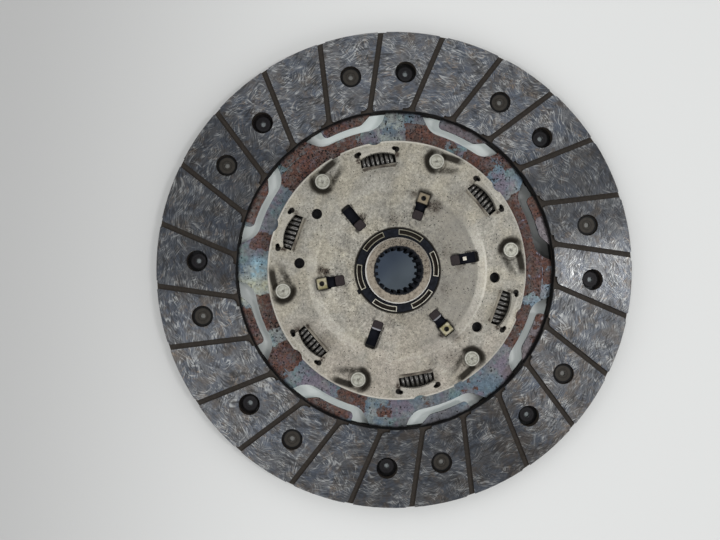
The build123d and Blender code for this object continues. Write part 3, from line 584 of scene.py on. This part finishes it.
# Rust in patches with ragged edges, and pits.
rust_place = blued.arcs(rust_arcs, 3.5) * on_tongue.inverse()
rust_place = rust_place.most(blued.arcs(tongue_rust_arcs, 4.0) * on_tongue)
rust_edge = blued.noise(5.0, 6.0, 0.68, shift=7.0)
rust = (rust_edge + rust_place * 0.42 - 0.34).ease(0.35, 0.41) * rust_place.ease(0.0, 0.2)
rust_tone = blued.noise(1.2, 5.0, 0.78, shift=5.0)
rust_hue = blued.mix(blued.noise(4.0, 3.0, 0.6, shift=25.0).ease(0.46, 0.60), rust_red, rust_grey)
rust_colour = blued.mix(rust_tone.ease(0.34, 0.62), rust_dark, blued.shade(rust_hue, rust_tone * 1.2 + 0.45))
rust_cover = blued.noise(2.4, 4.0, 0.7, shift=27.0).ease(0.36, 0.56) * 0.34 + 0.62
colour = blued.mix(rust * rust_cover, colour, rust_colour)
pit_place = blued.arcs(pit_arcs, 4.0) * 0.15
pits = (blued.noise(1.1, 2.0, 0.65, shift=15.0) + pit_place * 0.7).ease(0.69, 0.73)
few_pits = blued.specks(2.6, 0.6, 0.35, shift=11.0).most(blued.specks(1.5, 0.36, 0.35, shift=23.0))
few_pits = few_pits.most(blued.specks(1.25, 0.36, 0.60, shift=37.0) * rust * 0.9)
pits = pits.most(few_pits * 0.85)
colour = blued.mix(pits, colour, pit_black)

# Painted shadow under the facings and the retainer plate, and painted shade on the sheet's cut edges.
under_facing = (blued.radius + (rust_edge - 0.5) * 3.0).ease(facing_inner_r - 1.5, facing_inner_r - 0.1)
colour = blued.mix(under_facing * 0.96, colour, painted_shadow)
under_plate = (blued.radius + (rust_edge - 0.5) * 1.2).ease(plate_r + 1.8, plate_r) * 0.6
colour = blued.mix(under_plate, colour, painted_shadow)
outward_way = add_node(blued.tree, "ShaderNodeTexCoord").outputs["Normal"]
level = Field(blued.tree, add_node(blued.tree, "ShaderNodeSeparateXYZ", {0: outward_way}).outputs[2])
edge_wall = level.size().ease(0.70, 0.40)
colour = blued.mix(edge_wall * 0.85, colour, painted_shadow)
blued.give(colour=colour, metal=rust.most(pits) * -0.45 + 0.5, rough=rust * 0.35 + 0.38 + tint * 0.1)
blued.relief(rust * rust_tone * 0.9 - pits * 0.8 + mottle * 0.2, 0.16)
blued.dress("cushion_plate")


# ==== Retainer plate and drive plate =================================================
# Two discs of sheet steel with a dull zinc coat, pressed up round the springs and down
# round the stop rivets. Grease and dust have stained the pressings and the window corners.

spring_circle_r = 55.0
spring_first = 40.0
stop_circle_r = 57.0
stop_first = 10.2
slot_first = 10.0
dish_inner_r = 39.5
dish_outer_r = 44.5
retainer_bore_r = 20.9
retainer_under_z = 12.2
drive_over_z = 5.0
halfway_z = 10.0
outer_flank_off = 3.3
inner_flank_off = 5.2
hole_beside = 9.1
hole_beyond = 4.6
corner_beside = 9.3
corner_beyond = 1.9
slot_half = 2.9
slot_mid_r = 33.5
lug_gap_r = 38.2
lug_gap_side = 2.2
lug_gap_out = 2.4
lip_inwards = 3.2
coat_beige = (0.350, 0.325, 0.265)
coat_grey = (0.305, 0.292, 0.255)
coat_rose = (0.370, 0.332, 0.285)
coat_painted_highlight = (0.540, 0.515, 0.455)
coat_worn = (0.235, 0.212, 0.170)
coat_painted_shade = (0.290, 0.276, 0.246)
dark_stain_and_shade = (0.014, 0.011, 0.007)
stain_brown = (0.050, 0.036, 0.028)
black_stain_and_shade = (0.008, 0.007, 0.006)
dirty_places = (
    # middle in degrees, radius, half size, strength
    (59.5, 36.5, 5.2, 1.0),
    (63.5, 35.5, 3.2, 1.3),
    (78.0, 38.5, 2.6, 0.9),
    (123.5, 31.0, 3.6, 1.0),
    (181.0, 35.0, 3.0, 1.5),
    (180.0, 37.5, 3.8, 1.3),
    (197.0, 40.0, 3.0, 0.6),
    (311.0, 43.0, 4.0, 1.2),
    (304.5, 38.5, 3.0, 1.1),
    (301.0, 50.0, 5.0, 0.40),
    (292.0, 48.0, 4.0, 0.45),
    (4.0, 31.0, 3.5, 0.5),
    (158.0, 55.0, 8.0, 0.30),
    (212.0, 57.0, 9.0, 0.35),
    (226.0, 50.0, 8.0, 0.30),
    (20.0, 26.0, 5.0, 0.35),
    (49.0, 45.0, 8.0, 0.25),
    (95.0, 25.0, 5.0, 0.45),
    (340.0, 25.0, 5.0, 0.35),
    (262.0, 24.0, 5.0, 0.30),
)
cone_arcs = (
    # middle in degrees, half width, strength of the painted highlight on the raised middle's edge
    (2.0, 20.0, 0.55),
    (205.0, 28.0, 0.50),
    (120.0, 12.0, 0.25),
    (320.0, 10.0, 0.45),
)
crease_arcs = (
    # middle in degrees, half width, strength of the painted highlight on the crease
    (0.0, 14.0, 1.0),
    (325.0, 10.0, 0.7),
    (282.0, 6.0, 0.4),
)

coat = Finish("dull_zinc", metallic=0.35, roughness=0.46, gloss=0.14)

# The coat itself: beige, grey and rose, worn and gritty; dirt and painted shade darken it towards the bore.
broad = coat.noise(16.0, 3.0, 0.6, shift=1.0)
colour = coat.mix(broad.ease(0.38, 0.60), coat_beige, coat_grey)
lower_side = coat.y.ease(0.0, -50.0)
colour = coat.mix(lower_side * coat.noise(10.0, 2.0, shift=2.0).ease(0.3, 0.6) * 0.7, colour, coat_rose)
grain = coat.noise(0.8, 3.0, 0.75, shift=3.0).ease(0.26, 0.74)
blotch = coat.noise(1.8, 4.0, 0.75, shift=4.0).ease(0.28, 0.72)
worn = coat.noise(5.0, 5.0, 0.75, shift=14.0).ease(0.46, 0.62)
colour = coat.mix(worn * 0.22, colour, coat_worn)
inward_dirt_and_shade = coat.radius.ease(39.0, 26.0) * 0.26
grit = coat.noise(0.85, 2.0, 0.7, shift=21.0).ease(0.30, 0.70)
cloud = coat.noise(9.0, 2.0, 0.5, shift=26.0).ease(0.30, 0.70)
colour = coat.shade(colour, grain * 0.34 + blotch * 0.40 + 0.64 - inward_dirt_and_shade * blotch.inverse())
colour = coat.shade(colour, (grit * 0.44 + 0.78) * (cloud * 0.20 + 0.90))
on_retainer = coat.z.ease(halfway_z, halfway_z + 0.6)
# Painted shade on the raised middle: greyer and darker to the east, lighter to the west.
raised = coat.radius.ease(44.0, 37.0) * on_retainer
colour = coat.mix(raised * coat.x.ease(0.0, 30.0) * 0.6, colour, coat_painted_shade)
colour = coat.shade(colour, raised * (coat.x.ease(32.0, -26.0) * 0.34 - 0.17) + 1.0)

# Grease, and painted shade, in the pockets round the stop rivets and the valleys running clockwise from
# them.
off_stop = coat.folded(stop_first, 6)
clockwise = -off_stop * math.radians(stop_circle_r)
outward = coat.radius - stop_circle_r
from_stop = (clockwise * clockwise + outward * outward).math("SQRT")
ragged = (coat.noise(1.8, 4.0, 0.7, shift=5.0) - 0.5) * 2.6
crescent_side = (clockwise * 0.9 + outward * 0.35).ease(3.2, -2.6)
crescent = (from_stop + ragged * 0.5).ease(7.9, 5.5) * (crescent_side * 0.88 + 0.12)
outer_line = outward - clockwise * 0.14
outer_flank = (outer_line - outer_flank_off + ragged * 0.15).size().ease(2.5, 0.8)
outer_flank = outer_flank * clockwise.ease(-1.0, 2.0) * (clockwise + ragged * 0.6).ease(13.5, 8.5)
inner_line = outward - clockwise * 0.45
inner_flank = (inner_line + inner_flank_off + ragged * 0.4).size().ease(3.0, 0.6)
inner_flank = inner_flank * clockwise.ease(0.5, 4.0) * (clockwise + ragged).ease(16.0, 7.0)
inner_flank = inner_flank * (coat.noise(1.2, 3.0, 0.7, shift=43.0).ease(0.30, 0.60) * 0.35 + 0.52)
grease_and_shade = crescent.most(outer_flank).most(inner_flank)
grease_and_shade = (grease_and_shade * (coat.noise(1.6, 3.0, 0.7, shift=9.0) * 0.4 + 0.84)).least(0.98)
halo = (from_stop + ragged * 1.5).ease(12.0, 4.5) * (blotch * 0.26 + 0.10)
colour = coat.mix(grease_and_shade.most(halo).least(0.97), colour, dark_stain_and_shade)

# Patches of dirt, and dust.
dirt = None
for middle, radius, half, strength in dirty_places:
    east = coat.x - radius * math.cos(math.radians(middle))
    north = coat.y - radius * math.sin(math.radians(middle))
    patch = ((east * east + north * north).math("SQRT") + ragged * 0.6).ease(half, half * 0.2) * strength
    dirt = patch if dirt is None else dirt.most(patch)
dirt = dirt * on_retainer
colour = coat.mix((dirt * (blotch.inverse() * 0.45 + 0.48)).least(0.96), colour, stain_brown)
dust_place = coat.noise(7.0, 3.0, 0.65, shift=18.0).ease(0.44, 0.62)
dust_dots = coat.noise(0.7, 2.0, 0.65, shift=17.0) + dirt * 0.12 + inward_dirt_and_shade * 0.12 + dust_place * 0.05
colour = coat.mix(dust_dots.ease(0.68, 0.73) * 0.95, colour, black_stain_and_shade)

# Each spring window: burrs and small holes at its corners, a painted highlight on the hood, and the dark
# lip.
off_spring = coat.folded(spring_first, 6)
beside = off_spring.size() * math.radians(spring_circle_r)
beyond = coat.radius - spring_circle_r
hole_x = beside - hole_beside
hole_y = beyond - hole_beyond
from_hole = (hole_x * hole_x + hole_y * hole_y).math("SQRT")
corner_x = beside - corner_beside
corner_y = beyond - corner_beyond
from_corner = (corner_x * corner_x * 0.7 + corner_y * corner_y * 0.35).math("SQRT")
burr = (from_corner + ragged * 0.75).ease(1.25, 0.55)
burr = burr * coat.noise(0.9, 3.0, 0.7, shift=29.0).ease(0.36, 0.52)
burr_each = coat.noise(9.0, 0.0, shift=33.0).ease(0.35, 0.50) * 0.8 + 0.2
colour = coat.mix(burr * burr_each, colour, stain_brown)
colour = coat.mix((from_hole + ragged * 0.12).ease(1.55, 1.2), colour, black_stain_and_shade)
near_window = beside.ease(12.5, 9.0) * (beyond + 0.8).size().ease(6.8, 4.6) * 0.30
colour = coat.mix(near_window * blotch, colour, dark_stain_and_shade)
hood_highlight = beyond.ease(1.8, 3.2) * beyond.ease(7.5, 5.6) * beside.ease(8.6, 7.4)
colour = coat.mix(hood_highlight * 0.35, colour, coat_painted_highlight)
lip = (beyond + lip_inwards).size().ease(1.0, 0.8) * beside.ease(8.8, 8.5)
lip_colour = coat.mix(coat.noise(6.0, 2.0, shift=41.0).ease(0.4, 0.6), coat_worn, stain_brown)
colour = coat.mix(lip * 0.8, colour, lip_colour)

# Grease and painted shade along the sides of the radial slots, and the stained rims where the yellow lugs
# come through.
off_slot = coat.folded(slot_first, 6)
slot_side = off_slot.size() * math.radians(1.0) * coat.radius
slot_grease_and_shade = (slot_side - slot_half + ragged * 0.4).size().ease(1.0, 0.2)
slot_grease_and_shade = slot_grease_and_shade * (coat.radius - slot_mid_r).size().ease(8.5, 6.0)
slot_grease_and_shade = slot_grease_and_shade * coat.noise(3.0, 3.0, shift=6.0).ease(0.42, 0.58)
colour = coat.mix(slot_grease_and_shade * on_retainer * 0.8, colour, black_stain_and_shade)
off_lug = coat.folded(slot_first + 60.0, 3)
beside_lug = (off_lug.size() * math.radians(1.0) * coat.radius - lug_gap_side).most(0.0)
beyond_lug = ((coat.radius - lug_gap_r).size() - lug_gap_out).most(0.0)
from_lug = (beside_lug * beside_lug + beyond_lug * beyond_lug).math("SQRT")
lug_cloud = coat.noise(4.0, 2.0, shift=53.0).ease(0.35, 0.6) * 0.5 + 0.45
lug_smear = (from_lug + ragged * 0.35).ease(2.6, 0.5) * lug_cloud
lug_rim = lug_smear.most((from_lug + ragged * 0.1).ease(1.3, 0.6))
colour = coat.mix(lug_rim * on_retainer * 0.85, colour, dark_stain_and_shade)

# Specks, painted highlights on the rims and creases, and painted shade between the two plates.
dots = coat.specks(2.2, 0.34, 0.30, shift=31.0).most(coat.specks(1.2, 0.20, 0.30, shift=57.0))
colour = coat.mix(dots * 0.85, colour, black_stain_and_shade)
plate_rim_highlight = coat.radius.ease(plate_r - 1.3, plate_r - 0.7)
bore_edge_shade = (coat.radius + ragged * 0.2).ease(retainer_bore_r + 0.7, retainer_bore_r + 0.3)
cone_highlight = (coat.radius + ragged * 0.3).band((dish_inner_r + dish_outer_r) / 2, 1.6, 1.6)
cone_highlight = cone_highlight * (coat.noise(8.0, 3.0, shift=19.0).ease(0.3, 0.6) * 0.6 + 0.4) * coat.arcs(cone_arcs, 18.0)
cone_highlight = cone_highlight.most(coat.radius.band(dish_outer_r - 0.7, 0.2, 0.7) * coat.arcs(crease_arcs, 14.0))
colour = coat.mix((plate_rim_highlight * 0.7).most(cone_highlight * 0.55) * grease_and_shade.inverse(), colour, coat_painted_highlight)
# Painted shade in the crease inside the raised middle and round the bore's edge.
dish_crease_shade = (coat.radius - dish_inner_r + 1.2 + ragged * 0.2).size().ease(1.8, 0.3) * 0.12
colour = coat.mix(dish_crease_shade.most(bore_edge_shade * 0.9), colour, dark_stain_and_shade)
# Painted shade between the two plates.
between_plates_shade = coat.z.ease(retainer_under_z + 0.4, retainer_under_z)
between_plates_shade = between_plates_shade * coat.z.ease(drive_over_z - 0.6, drive_over_z)
colour = coat.mix(between_plates_shade * 0.9, colour, black_stain_and_shade)
dull = grease_and_shade.most(burr).most(bore_edge_shade)
coat.give(colour=colour, rough=grain * 0.10 + 0.40 + dull * 0.2, metal=dull * -0.35 + 0.35)
coat.relief(grain * 0.4 + blotch * 0.6 - dots, 0.05)
coat.dress("retainer_plate", "drive_plate")


# ==== Stop rivets ====================================================================
# Six shouldered steel pins, riveted over, which hold the two plates apart and end the
# hub flange's swing. Their heads are bright, with a ring and a centre mark from the tool.

head_bright = (0.43, 0.425, 0.365)
head_dull = (0.25, 0.243, 0.20)
head_painted_highlight = (0.58, 0.57, 0.51)
head_r = 3.75
head_ring_r = 2.85
head_rim_r = 3.25
shank_top_z = 13.5
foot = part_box("stop_rivets")[0].z * mm_per_m

steel_rivet = Finish("bright_rivet", metallic=0.35, roughness=0.45)
off_stop = steel_rivet.folded(stop_first, 6)
side = off_stop * math.radians(stop_circle_r)
out = steel_rivet.radius - stop_circle_r
from_stop = (side * side + out * out).math("SQRT")
wear = steel_rivet.noise(1.3, 3.0, 0.65)
colour = steel_rivet.mix(wear.ease(0.35, 0.62), head_dull, head_bright)
ragged = (steel_rivet.noise(0.7, 3.0, shift=2.0) - 0.5) * 1.6
centre_mark = (from_stop + ragged).ease(1.1, 0.3) * 0.55
tool_ring = (from_stop + ragged * 0.15).band(head_ring_r, 0.08, 0.28) * 0.30
# Painted shade at the head's outer edge, and a painted highlight on its rounded rim.
head_edge = from_stop.ease(head_r - 0.22, head_r - 0.02) * 0.6
head_rim_highlight = from_stop.band(head_rim_r, 0.10, 0.30) * 0.45
colour = steel_rivet.mix(head_rim_highlight, colour, head_painted_highlight)
colour = steel_rivet.mix(centre_mark.most(head_edge).most(tool_ring), colour, dark_stain_and_shade)
# Painted shade on the shank, hidden between the plates.
shank = steel_rivet.z.ease(shank_top_z + 0.4, shank_top_z) * steel_rivet.z.ease(foot + 0.9, foot + 1.3)
colour = steel_rivet.mix(shank, colour, black_stain_and_shade)
steel_rivet.give(colour=colour)
steel_rivet.relief(wear, 0.05)
steel_rivet.dress("stop_rivets")


# ==== Damper springs =================================================================
# Six coil springs of dark round wire, closed at both ends, one in each window. They are
# wound smooth here and take the place of the faceted coils.

coil_air = 0.02
flange_mid = 0.0080
spring_black = (0.065, 0.063, 0.062)
spring_grey = (0.170, 0.164, 0.152)
damper_spring_count = 6


def spring_winder(name, turns, material):
    """A node tree that winds one closed-ended coil spring and turns it to its heading."""
    tree = bpy.data.node_groups.new(name, "GeometryNodeTree")
    for socket in ("Circle Radius", "Height", "Coil Radius", "Wire Radius", "Length", "Turns", "Heading"):
        tree.interface.new_socket(socket, in_out="INPUT", socket_type="NodeSocketFloat")
    tree.interface.new_socket("Spring", in_out="OUTPUT", socket_type="NodeSocketGeometry")
    given = add_node(tree, "NodeGroupInput").outputs
    steps_per_turn = 28
    wire_sides = 14
    steps = round(turns * steps_per_turn)
    line = add_node(tree, "GeometryNodeCurvePrimitiveLine").outputs[0]
    points = add_node(tree, "GeometryNodeResampleCurve", {"Curve": line, "Count": steps + 1}).outputs[0]
    index = Field(tree, add_node(tree, "GeometryNodeInputIndex").outputs[0])
    done = index / steps * given["Turns"]
    wire = Field(tree, given["Wire Radius"])
    close_pitch = wire * (2 * (1 + coil_air))
    open_rise = -(wire * 2.0 + close_pitch * 2.0) + given["Length"]
    open_turns = Field(tree, given["Turns"]) - 2.0
    closed = done.least(1.0) + (done - 1.0 - open_turns).most(0.0)
    opened = (done - 1.0).most(0.0).least(open_turns) / open_turns
    travel = closed * close_pitch + opened * open_rise + wire - Field(tree, given["Length"]) * 0.5
    angle = done * (2 * math.pi)
    out = angle.math("COSINE") * given["Coil Radius"] + given["Circle Radius"]
    up = angle.math("SINE") * given["Coil Radius"] + given["Height"]
    place = add_node(tree, "ShaderNodeCombineXYZ", {0: out, 1: -travel, 2: up}).outputs[0]
    path = add_node(tree, "GeometryNodeSetPosition", {"Geometry": points, "Position": place}).outputs[0]
    circle = add_node(
        tree, "GeometryNodeCurvePrimitiveCircle", {"Resolution": wire_sides, "Radius": given["Wire Radius"]}
    ).outputs[0]
    inputs = {"Curve": path, "Profile Curve": circle, "Fill Caps": True}
    coil = add_node(tree, "GeometryNodeCurveToMesh", inputs).outputs[0]
    rotation = add_node(tree, "ShaderNodeCombineXYZ", {2: given["Heading"]}).outputs[0]
    turned = add_node(tree, "GeometryNodeTransform", {"Geometry": coil, "Rotation": rotation}).outputs[0]
    smooth = add_node(tree, "GeometryNodeSetShadeSmooth", {"Geometry": turned}).outputs[0]
    real = add_node(tree, "GeometryNodeRealizeInstances", {0: smooth}).outputs[0]
    inputs = {"Geometry": real, "Material": material}
    painted = add_node(tree, "GeometryNodeSetMaterial", inputs).outputs[0]
    add_node(tree, "NodeGroupOutput", {0: painted})
    return tree


def evaluated(name, tree, sizes):
    """The mesh that a node tree makes with its named inputs set, as a plain object."""
    holder = bpy.data.objects.new(name, bpy.data.meshes.new(name))
    bpy.context.scene.collection.objects.link(holder)
    modifier = holder.modifiers.new(name, "NODES")
    modifier.node_group = tree
    for item in tree.interface.items_tree:
        if item.name in sizes:
            modifier[item.identifier] = sizes[item.name]
    bpy.context.view_layer.update()
    shown = holder.evaluated_get(bpy.context.evaluated_depsgraph_get())
    mesh = bpy.data.meshes.new_from_object(shown)
    holder.modifiers.clear()
    holder.data = mesh
    mesh.name = name
    return holder


def wind_springs(node, count, first, body, sizes):
    """Wind the springs of one kind, each in its node's place, and hide the CAD coils they replace."""
    tree = spring_winder(node, sizes["Turns"], spring_steel.material)
    for index in range(count):
        heading = math.radians(first + 360.0 / count * index)
        spring = evaluated(f"wound_{node}_{index + 1}", tree, {**sizes, "Heading": heading})
        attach(spring, body)
        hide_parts(f"{node}_{index + 1}")
        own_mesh(spring)


spring_steel = Finish("dark_spring_steel", metallic=0.85, roughness=0.3)
oil = spring_steel.noise(1.5, 3.0, 0.6)
colour = spring_steel.mix(oil.ease(0.35, 0.65), spring_black, spring_grey)
spring_steel.give(colour=colour, rough=oil * 0.20 + 0.20)
spring_steel.relief(oil, 0.02)

damper_spring = {
    "Circle Radius": spring_circle_r / mm_per_m,
    "Height": flange_mid,
    "Coil Radius": 0.00475,
    "Wire Radius": 0.0010,
    "Length": 0.0174,
    "Turns": 6.7,
}
wind_springs(
    "damper_spring",
    damper_spring_count,
    spring_first,
    "disc",
    damper_spring,
)


# ==== Idle springs ===================================================================
# Four small springs between the hub's teeth and the flange, which take up the first few
# degrees of swing. They are out of sight behind the bearing ring.

idle_spring_count = 4
idle_spring_first = 0.0
idle_spring = {
    "Circle Radius": 0.0212,
    "Height": flange_mid,
    "Coil Radius": 0.00185,
    "Wire Radius": 0.00045,
    "Length": 0.0086,
    "Turns": 5.0,
}
wind_springs(
    "idle_spring",
    idle_spring_count,
    idle_spring_first,
    "flange",
    idle_spring,
)


# ==== Hub flange =====================================================================
# The forged flange that the springs turn, phosphated dark grey. Only its edges show
# between the plates and through the windows.

forging_black = (0.010, 0.010, 0.012)
forging_grey = (0.030, 0.029, 0.031)

forged = Finish("phosphated_forging", metallic=0.4, roughness=0.6, gloss=0.2)
forged_grain = forged.noise(1.2, 4.0, 0.65)
colour = forged.mix(forged_grain.ease(0.3, 0.7), forging_black, forging_grey)
forged.give(colour=colour, rough=forged_grain * 0.25 + 0.45)
forged.relief(forged_grain, 0.05)
forged.dress("hub_flange")


# ==== Hub ============================================================================
# A splined hub of machined steel. Its end face is worn beige-brown with black pits, its
# rim is worn bright with a painted highlight stronger on one side, and the splines are black with old
# grease.

hub_r = 16.0
grease_r = 12.0
hub_face = (0.300, 0.262, 0.212)
hub_face_dark = (0.120, 0.098, 0.076)
hub_rim_bright = (0.66, 0.64, 0.60)
hub_grease = (0.008, 0.009, 0.012)

hub_steel = Finish("worn_hub_steel", metallic=0.35, roughness=0.5, gloss=0.12)
worn = hub_steel.noise(2.0, 4.0, 0.7, shift=2.0)
scuffed = hub_steel.noise(0.8, 3.0, 0.7, shift=6.0)
colour = hub_steel.mix(worn.ease(0.30, 0.55), hub_face_dark, hub_face)
upper_side = (hub_steel.x * 0.4 + hub_steel.y).ease(-6.0, 13.0)
colour = hub_steel.shade(colour, scuffed * 0.8 + 0.62 - upper_side * 0.22)
pits = (hub_steel.noise(0.6, 3.0, 0.7, shift=9.0) + upper_side * 0.10).ease(0.63, 0.69)
colour = hub_steel.mix(pits * 0.9, colour, hub_grease)
bright_rim = (hub_steel.radius + (worn - 0.5) * 0.4).ease(hub_r - 0.62, hub_r - 0.42)
rim_highlight_side = (hub_steel.x * -0.5 - hub_steel.y).ease(-14.0, 4.0) * 0.75 + 0.25
colour = hub_steel.mix(bright_rim * rim_highlight_side, colour, hub_rim_bright)
ragged = (hub_steel.noise(0.9, 4.0, 0.65, shift=4.0) - 0.5) * 1.8
east_side = hub_steel.x.ease(-4.0, 12.0)
greased = hub_steel.radius + ragged - upper_side * 0.05 - east_side * 0.15
greased = greased.ease(grease_r + 0.25, grease_r - 0.25)
colour = hub_steel.mix(greased, colour, hub_grease)
hub_steel.give(colour=colour, metal=greased * -0.3 + 0.35, rough=greased * -0.08 + worn * 0.2 + 0.40)
hub_steel.relief(worn * 0.6 + scuffed * 0.4 - pits, 0.05)
hub_steel.dress("hub")


# ==== Bearing ring and bush ==========================================================
# Glass-filled plastic, moulded black: the ring round the hub on the gearbox side, with
# six arc pockets whose lips are rubbed pale, and the bush on the flywheel side.

ring_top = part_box("bearing_ring_gearbox_side")[1].z * mm_per_m
lip_height = 0.3
ring_mid_r = 18.4
slot_inner_r = 26.4
slot_deep_z = 13.2
hook_outer_r = 31.0
hook_arcs = (
    # middle in degrees, half width, strength of the painted highlight at the hook's tip
    (250.0, 8.0, 1.0),
    (310.0, 8.0, 0.8),
)
plastic_black = (0.005, 0.006, 0.009)
plastic_grey = (0.013, 0.015, 0.022)
hook_brown = (0.030, 0.024, 0.025)
slot_blue = (0.0025, 0.003, 0.006)
hook_painted_highlight = (0.26, 0.26, 0.28)
pocket_brown = (0.024, 0.019, 0.015)
lip_cream = (0.54, 0.51, 0.43)
lip_olive = (0.16, 0.15, 0.10)
ring_gap_painted_shadow = (0.004, 0.004, 0.004)

plastic = Finish("black_plastic", roughness=0.45, gloss=0.09)
dust = plastic.noise(1.4, 4.0, 0.65)
colour = plastic.mix(dust.ease(0.35, 0.70), plastic_black, plastic_grey)
hooks = plastic.radius.ease(slot_inner_r - 1.2, slot_inner_r - 0.4)
colour = plastic.mix(hooks, colour, plastic.shade(hook_brown, dust + 0.5))
deep = plastic.z.ease(slot_deep_z + 0.7, slot_deep_z) * plastic.radius.ease(slot_inner_r - 0.6, slot_inner_r)
colour = plastic.mix(deep, colour, slot_blue)
hook_highlight = plastic.radius.ease(hook_outer_r - 0.9, hook_outer_r - 0.4)
hook_highlight = hook_highlight * plastic.arcs(hook_arcs, 2.0)
colour = plastic.mix(hook_highlight, colour, hook_painted_highlight)
# Painted shadow in the gaps at the ring's edges.
ring_gap_shadow = (plastic.radius - ring_mid_r).size().ease(1.65, 2.0) * plastic.radius.ease(22.0, 21.0)
colour = plastic.mix(ring_gap_shadow, colour, ring_gap_painted_shadow)
lips = plastic.z.ease(ring_top - lip_height * 0.6, ring_top - lip_height * 0.3)
rubbed = (plastic.x * 0.4 - plastic.y).ease(-14.0, 6.0) * 0.7 + 0.3
lip_colour = plastic.mix(rubbed * plastic.noise(1.6, 2.0, shift=3.0).ease(0.2, 0.5), lip_olive, lip_cream)
colour = plastic.mix(lips, colour, lip_colour)
pocket_floor = plastic.z.ease(ring_top - lip_height - 0.6, ring_top - lip_height - 1.0)
pocket_floor = pocket_floor * plastic.radius.ease(20.6, 20.2)
colour = plastic.mix(pocket_floor, colour, pocket_brown)
plastic.give(colour=colour, rough=dust * 0.25 + 0.34)
plastic.relief(dust, 0.03)
plastic.dress("bearing_ring_gearbox_side", "bearing_bush_flywheel_side")


# ==== Control plate ==================================================================
# A thin ring of yellow-passivated sheet under the retainer plate. Its three pierced lugs
# stand up in every second slot, cream and olive with a dark edge.

lug_cream = (0.44, 0.40, 0.28)
lug_olive = (0.25, 0.22, 0.10)
lug_brown = (0.20, 0.155, 0.105)
lug_edge = (0.030, 0.024, 0.016)
lug_inner_r = 35.2
lug_outer_r = 40.3
lug_half = 2.9
lug_mid_r = 37.75
lug_hole_r = 1.15
lug_foot_z = 12.8
upper_lug_deg = 70.0

passivated = Finish("yellow_passivated", metallic=0.25, roughness=0.42)
olive = passivated.noise(2.0, 3.0, 0.6)
colour = passivated.mix(olive.ease(0.40, 0.62), lug_cream, lug_olive)
top_side = passivated.folded(upper_lug_deg, 1).size().ease(60.0, 30.0)
colour = passivated.mix(top_side * 0.8, colour, lug_brown)
off_lug = passivated.folded(slot_first + 60.0, 3)
lug_side = off_lug.size() * math.radians(1.0) * passivated.radius
lug_out = passivated.radius - lug_mid_r
from_hole = (lug_side * lug_side + lug_out * lug_out).math("SQRT")
near_side = (lug_side + (olive - 0.5) * 0.6).ease(lug_half - 0.75, lug_half - 0.1)
near_end = passivated.radius.ease(lug_outer_r - 0.7, lug_outer_r - 0.1)
near_end = near_end.most(passivated.radius.ease(lug_inner_r + 0.5, lug_inner_r))
near_hole = from_hole.ease(lug_hole_r + 0.35, lug_hole_r + 0.05)
colour = passivated.mix(near_side.most(near_end).most(near_hole) * 0.85, colour, lug_edge)
# Painted shade on the plate where it lies under the retainer plate, below the lugs.
colour = passivated.mix(passivated.z.ease(lug_foot_z + 0.6, lug_foot_z), colour, black_stain_and_shade)
passivated.give(colour=colour)
passivated.relief(olive, 0.03)
passivated.dress("control_plate")


# ==== Diaphragm spring and cone spring ===============================================
# Pressed rings of dark spring steel that load the friction washers. A small tab of the
# upper one carries a painted highlight in one slot.

tab_z = 13.6
tab_painted_highlight = (0.62, 0.58, 0.50)
ring_black = (0.003, 0.0035, 0.006)
ring_blue = (0.010, 0.011, 0.016)

ring_steel = Finish("ring_spring_steel", metallic=0.6, roughness=0.5, gloss=0.1)
tarnish = ring_steel.noise(4.0, 3.0, 0.6)
colour = ring_steel.mix(tarnish.ease(0.3, 0.7), ring_black, ring_blue)
colour = ring_steel.mix(ring_steel.z.ease(tab_z, tab_z + 0.3), colour, tab_painted_highlight)
ring_steel.give(colour=colour)
ring_steel.dress("diaphragm_spring", "cone_spring_flywheel_side")


# ==== Friction washers ===============================================================
# Brown-black rings of pressed friction lining, one on each side of the hub flange. The
# diaphragm spring and the cone spring press them against it.

washer_dark = (0.030, 0.022, 0.020)
washer_brown = (0.070, 0.052, 0.045)

washer = Finish("washer_lining", roughness=0.75, gloss=0.2)
washer_grain = washer.noise(1.0, 4.0, 0.7)
washer.give(colour=washer.mix(washer_grain.ease(0.3, 0.7), washer_dark, washer_brown))
washer.relief(washer_grain, 0.06)
washer.dress("friction_washer_gearbox_side", "friction_washer_flywheel_side")
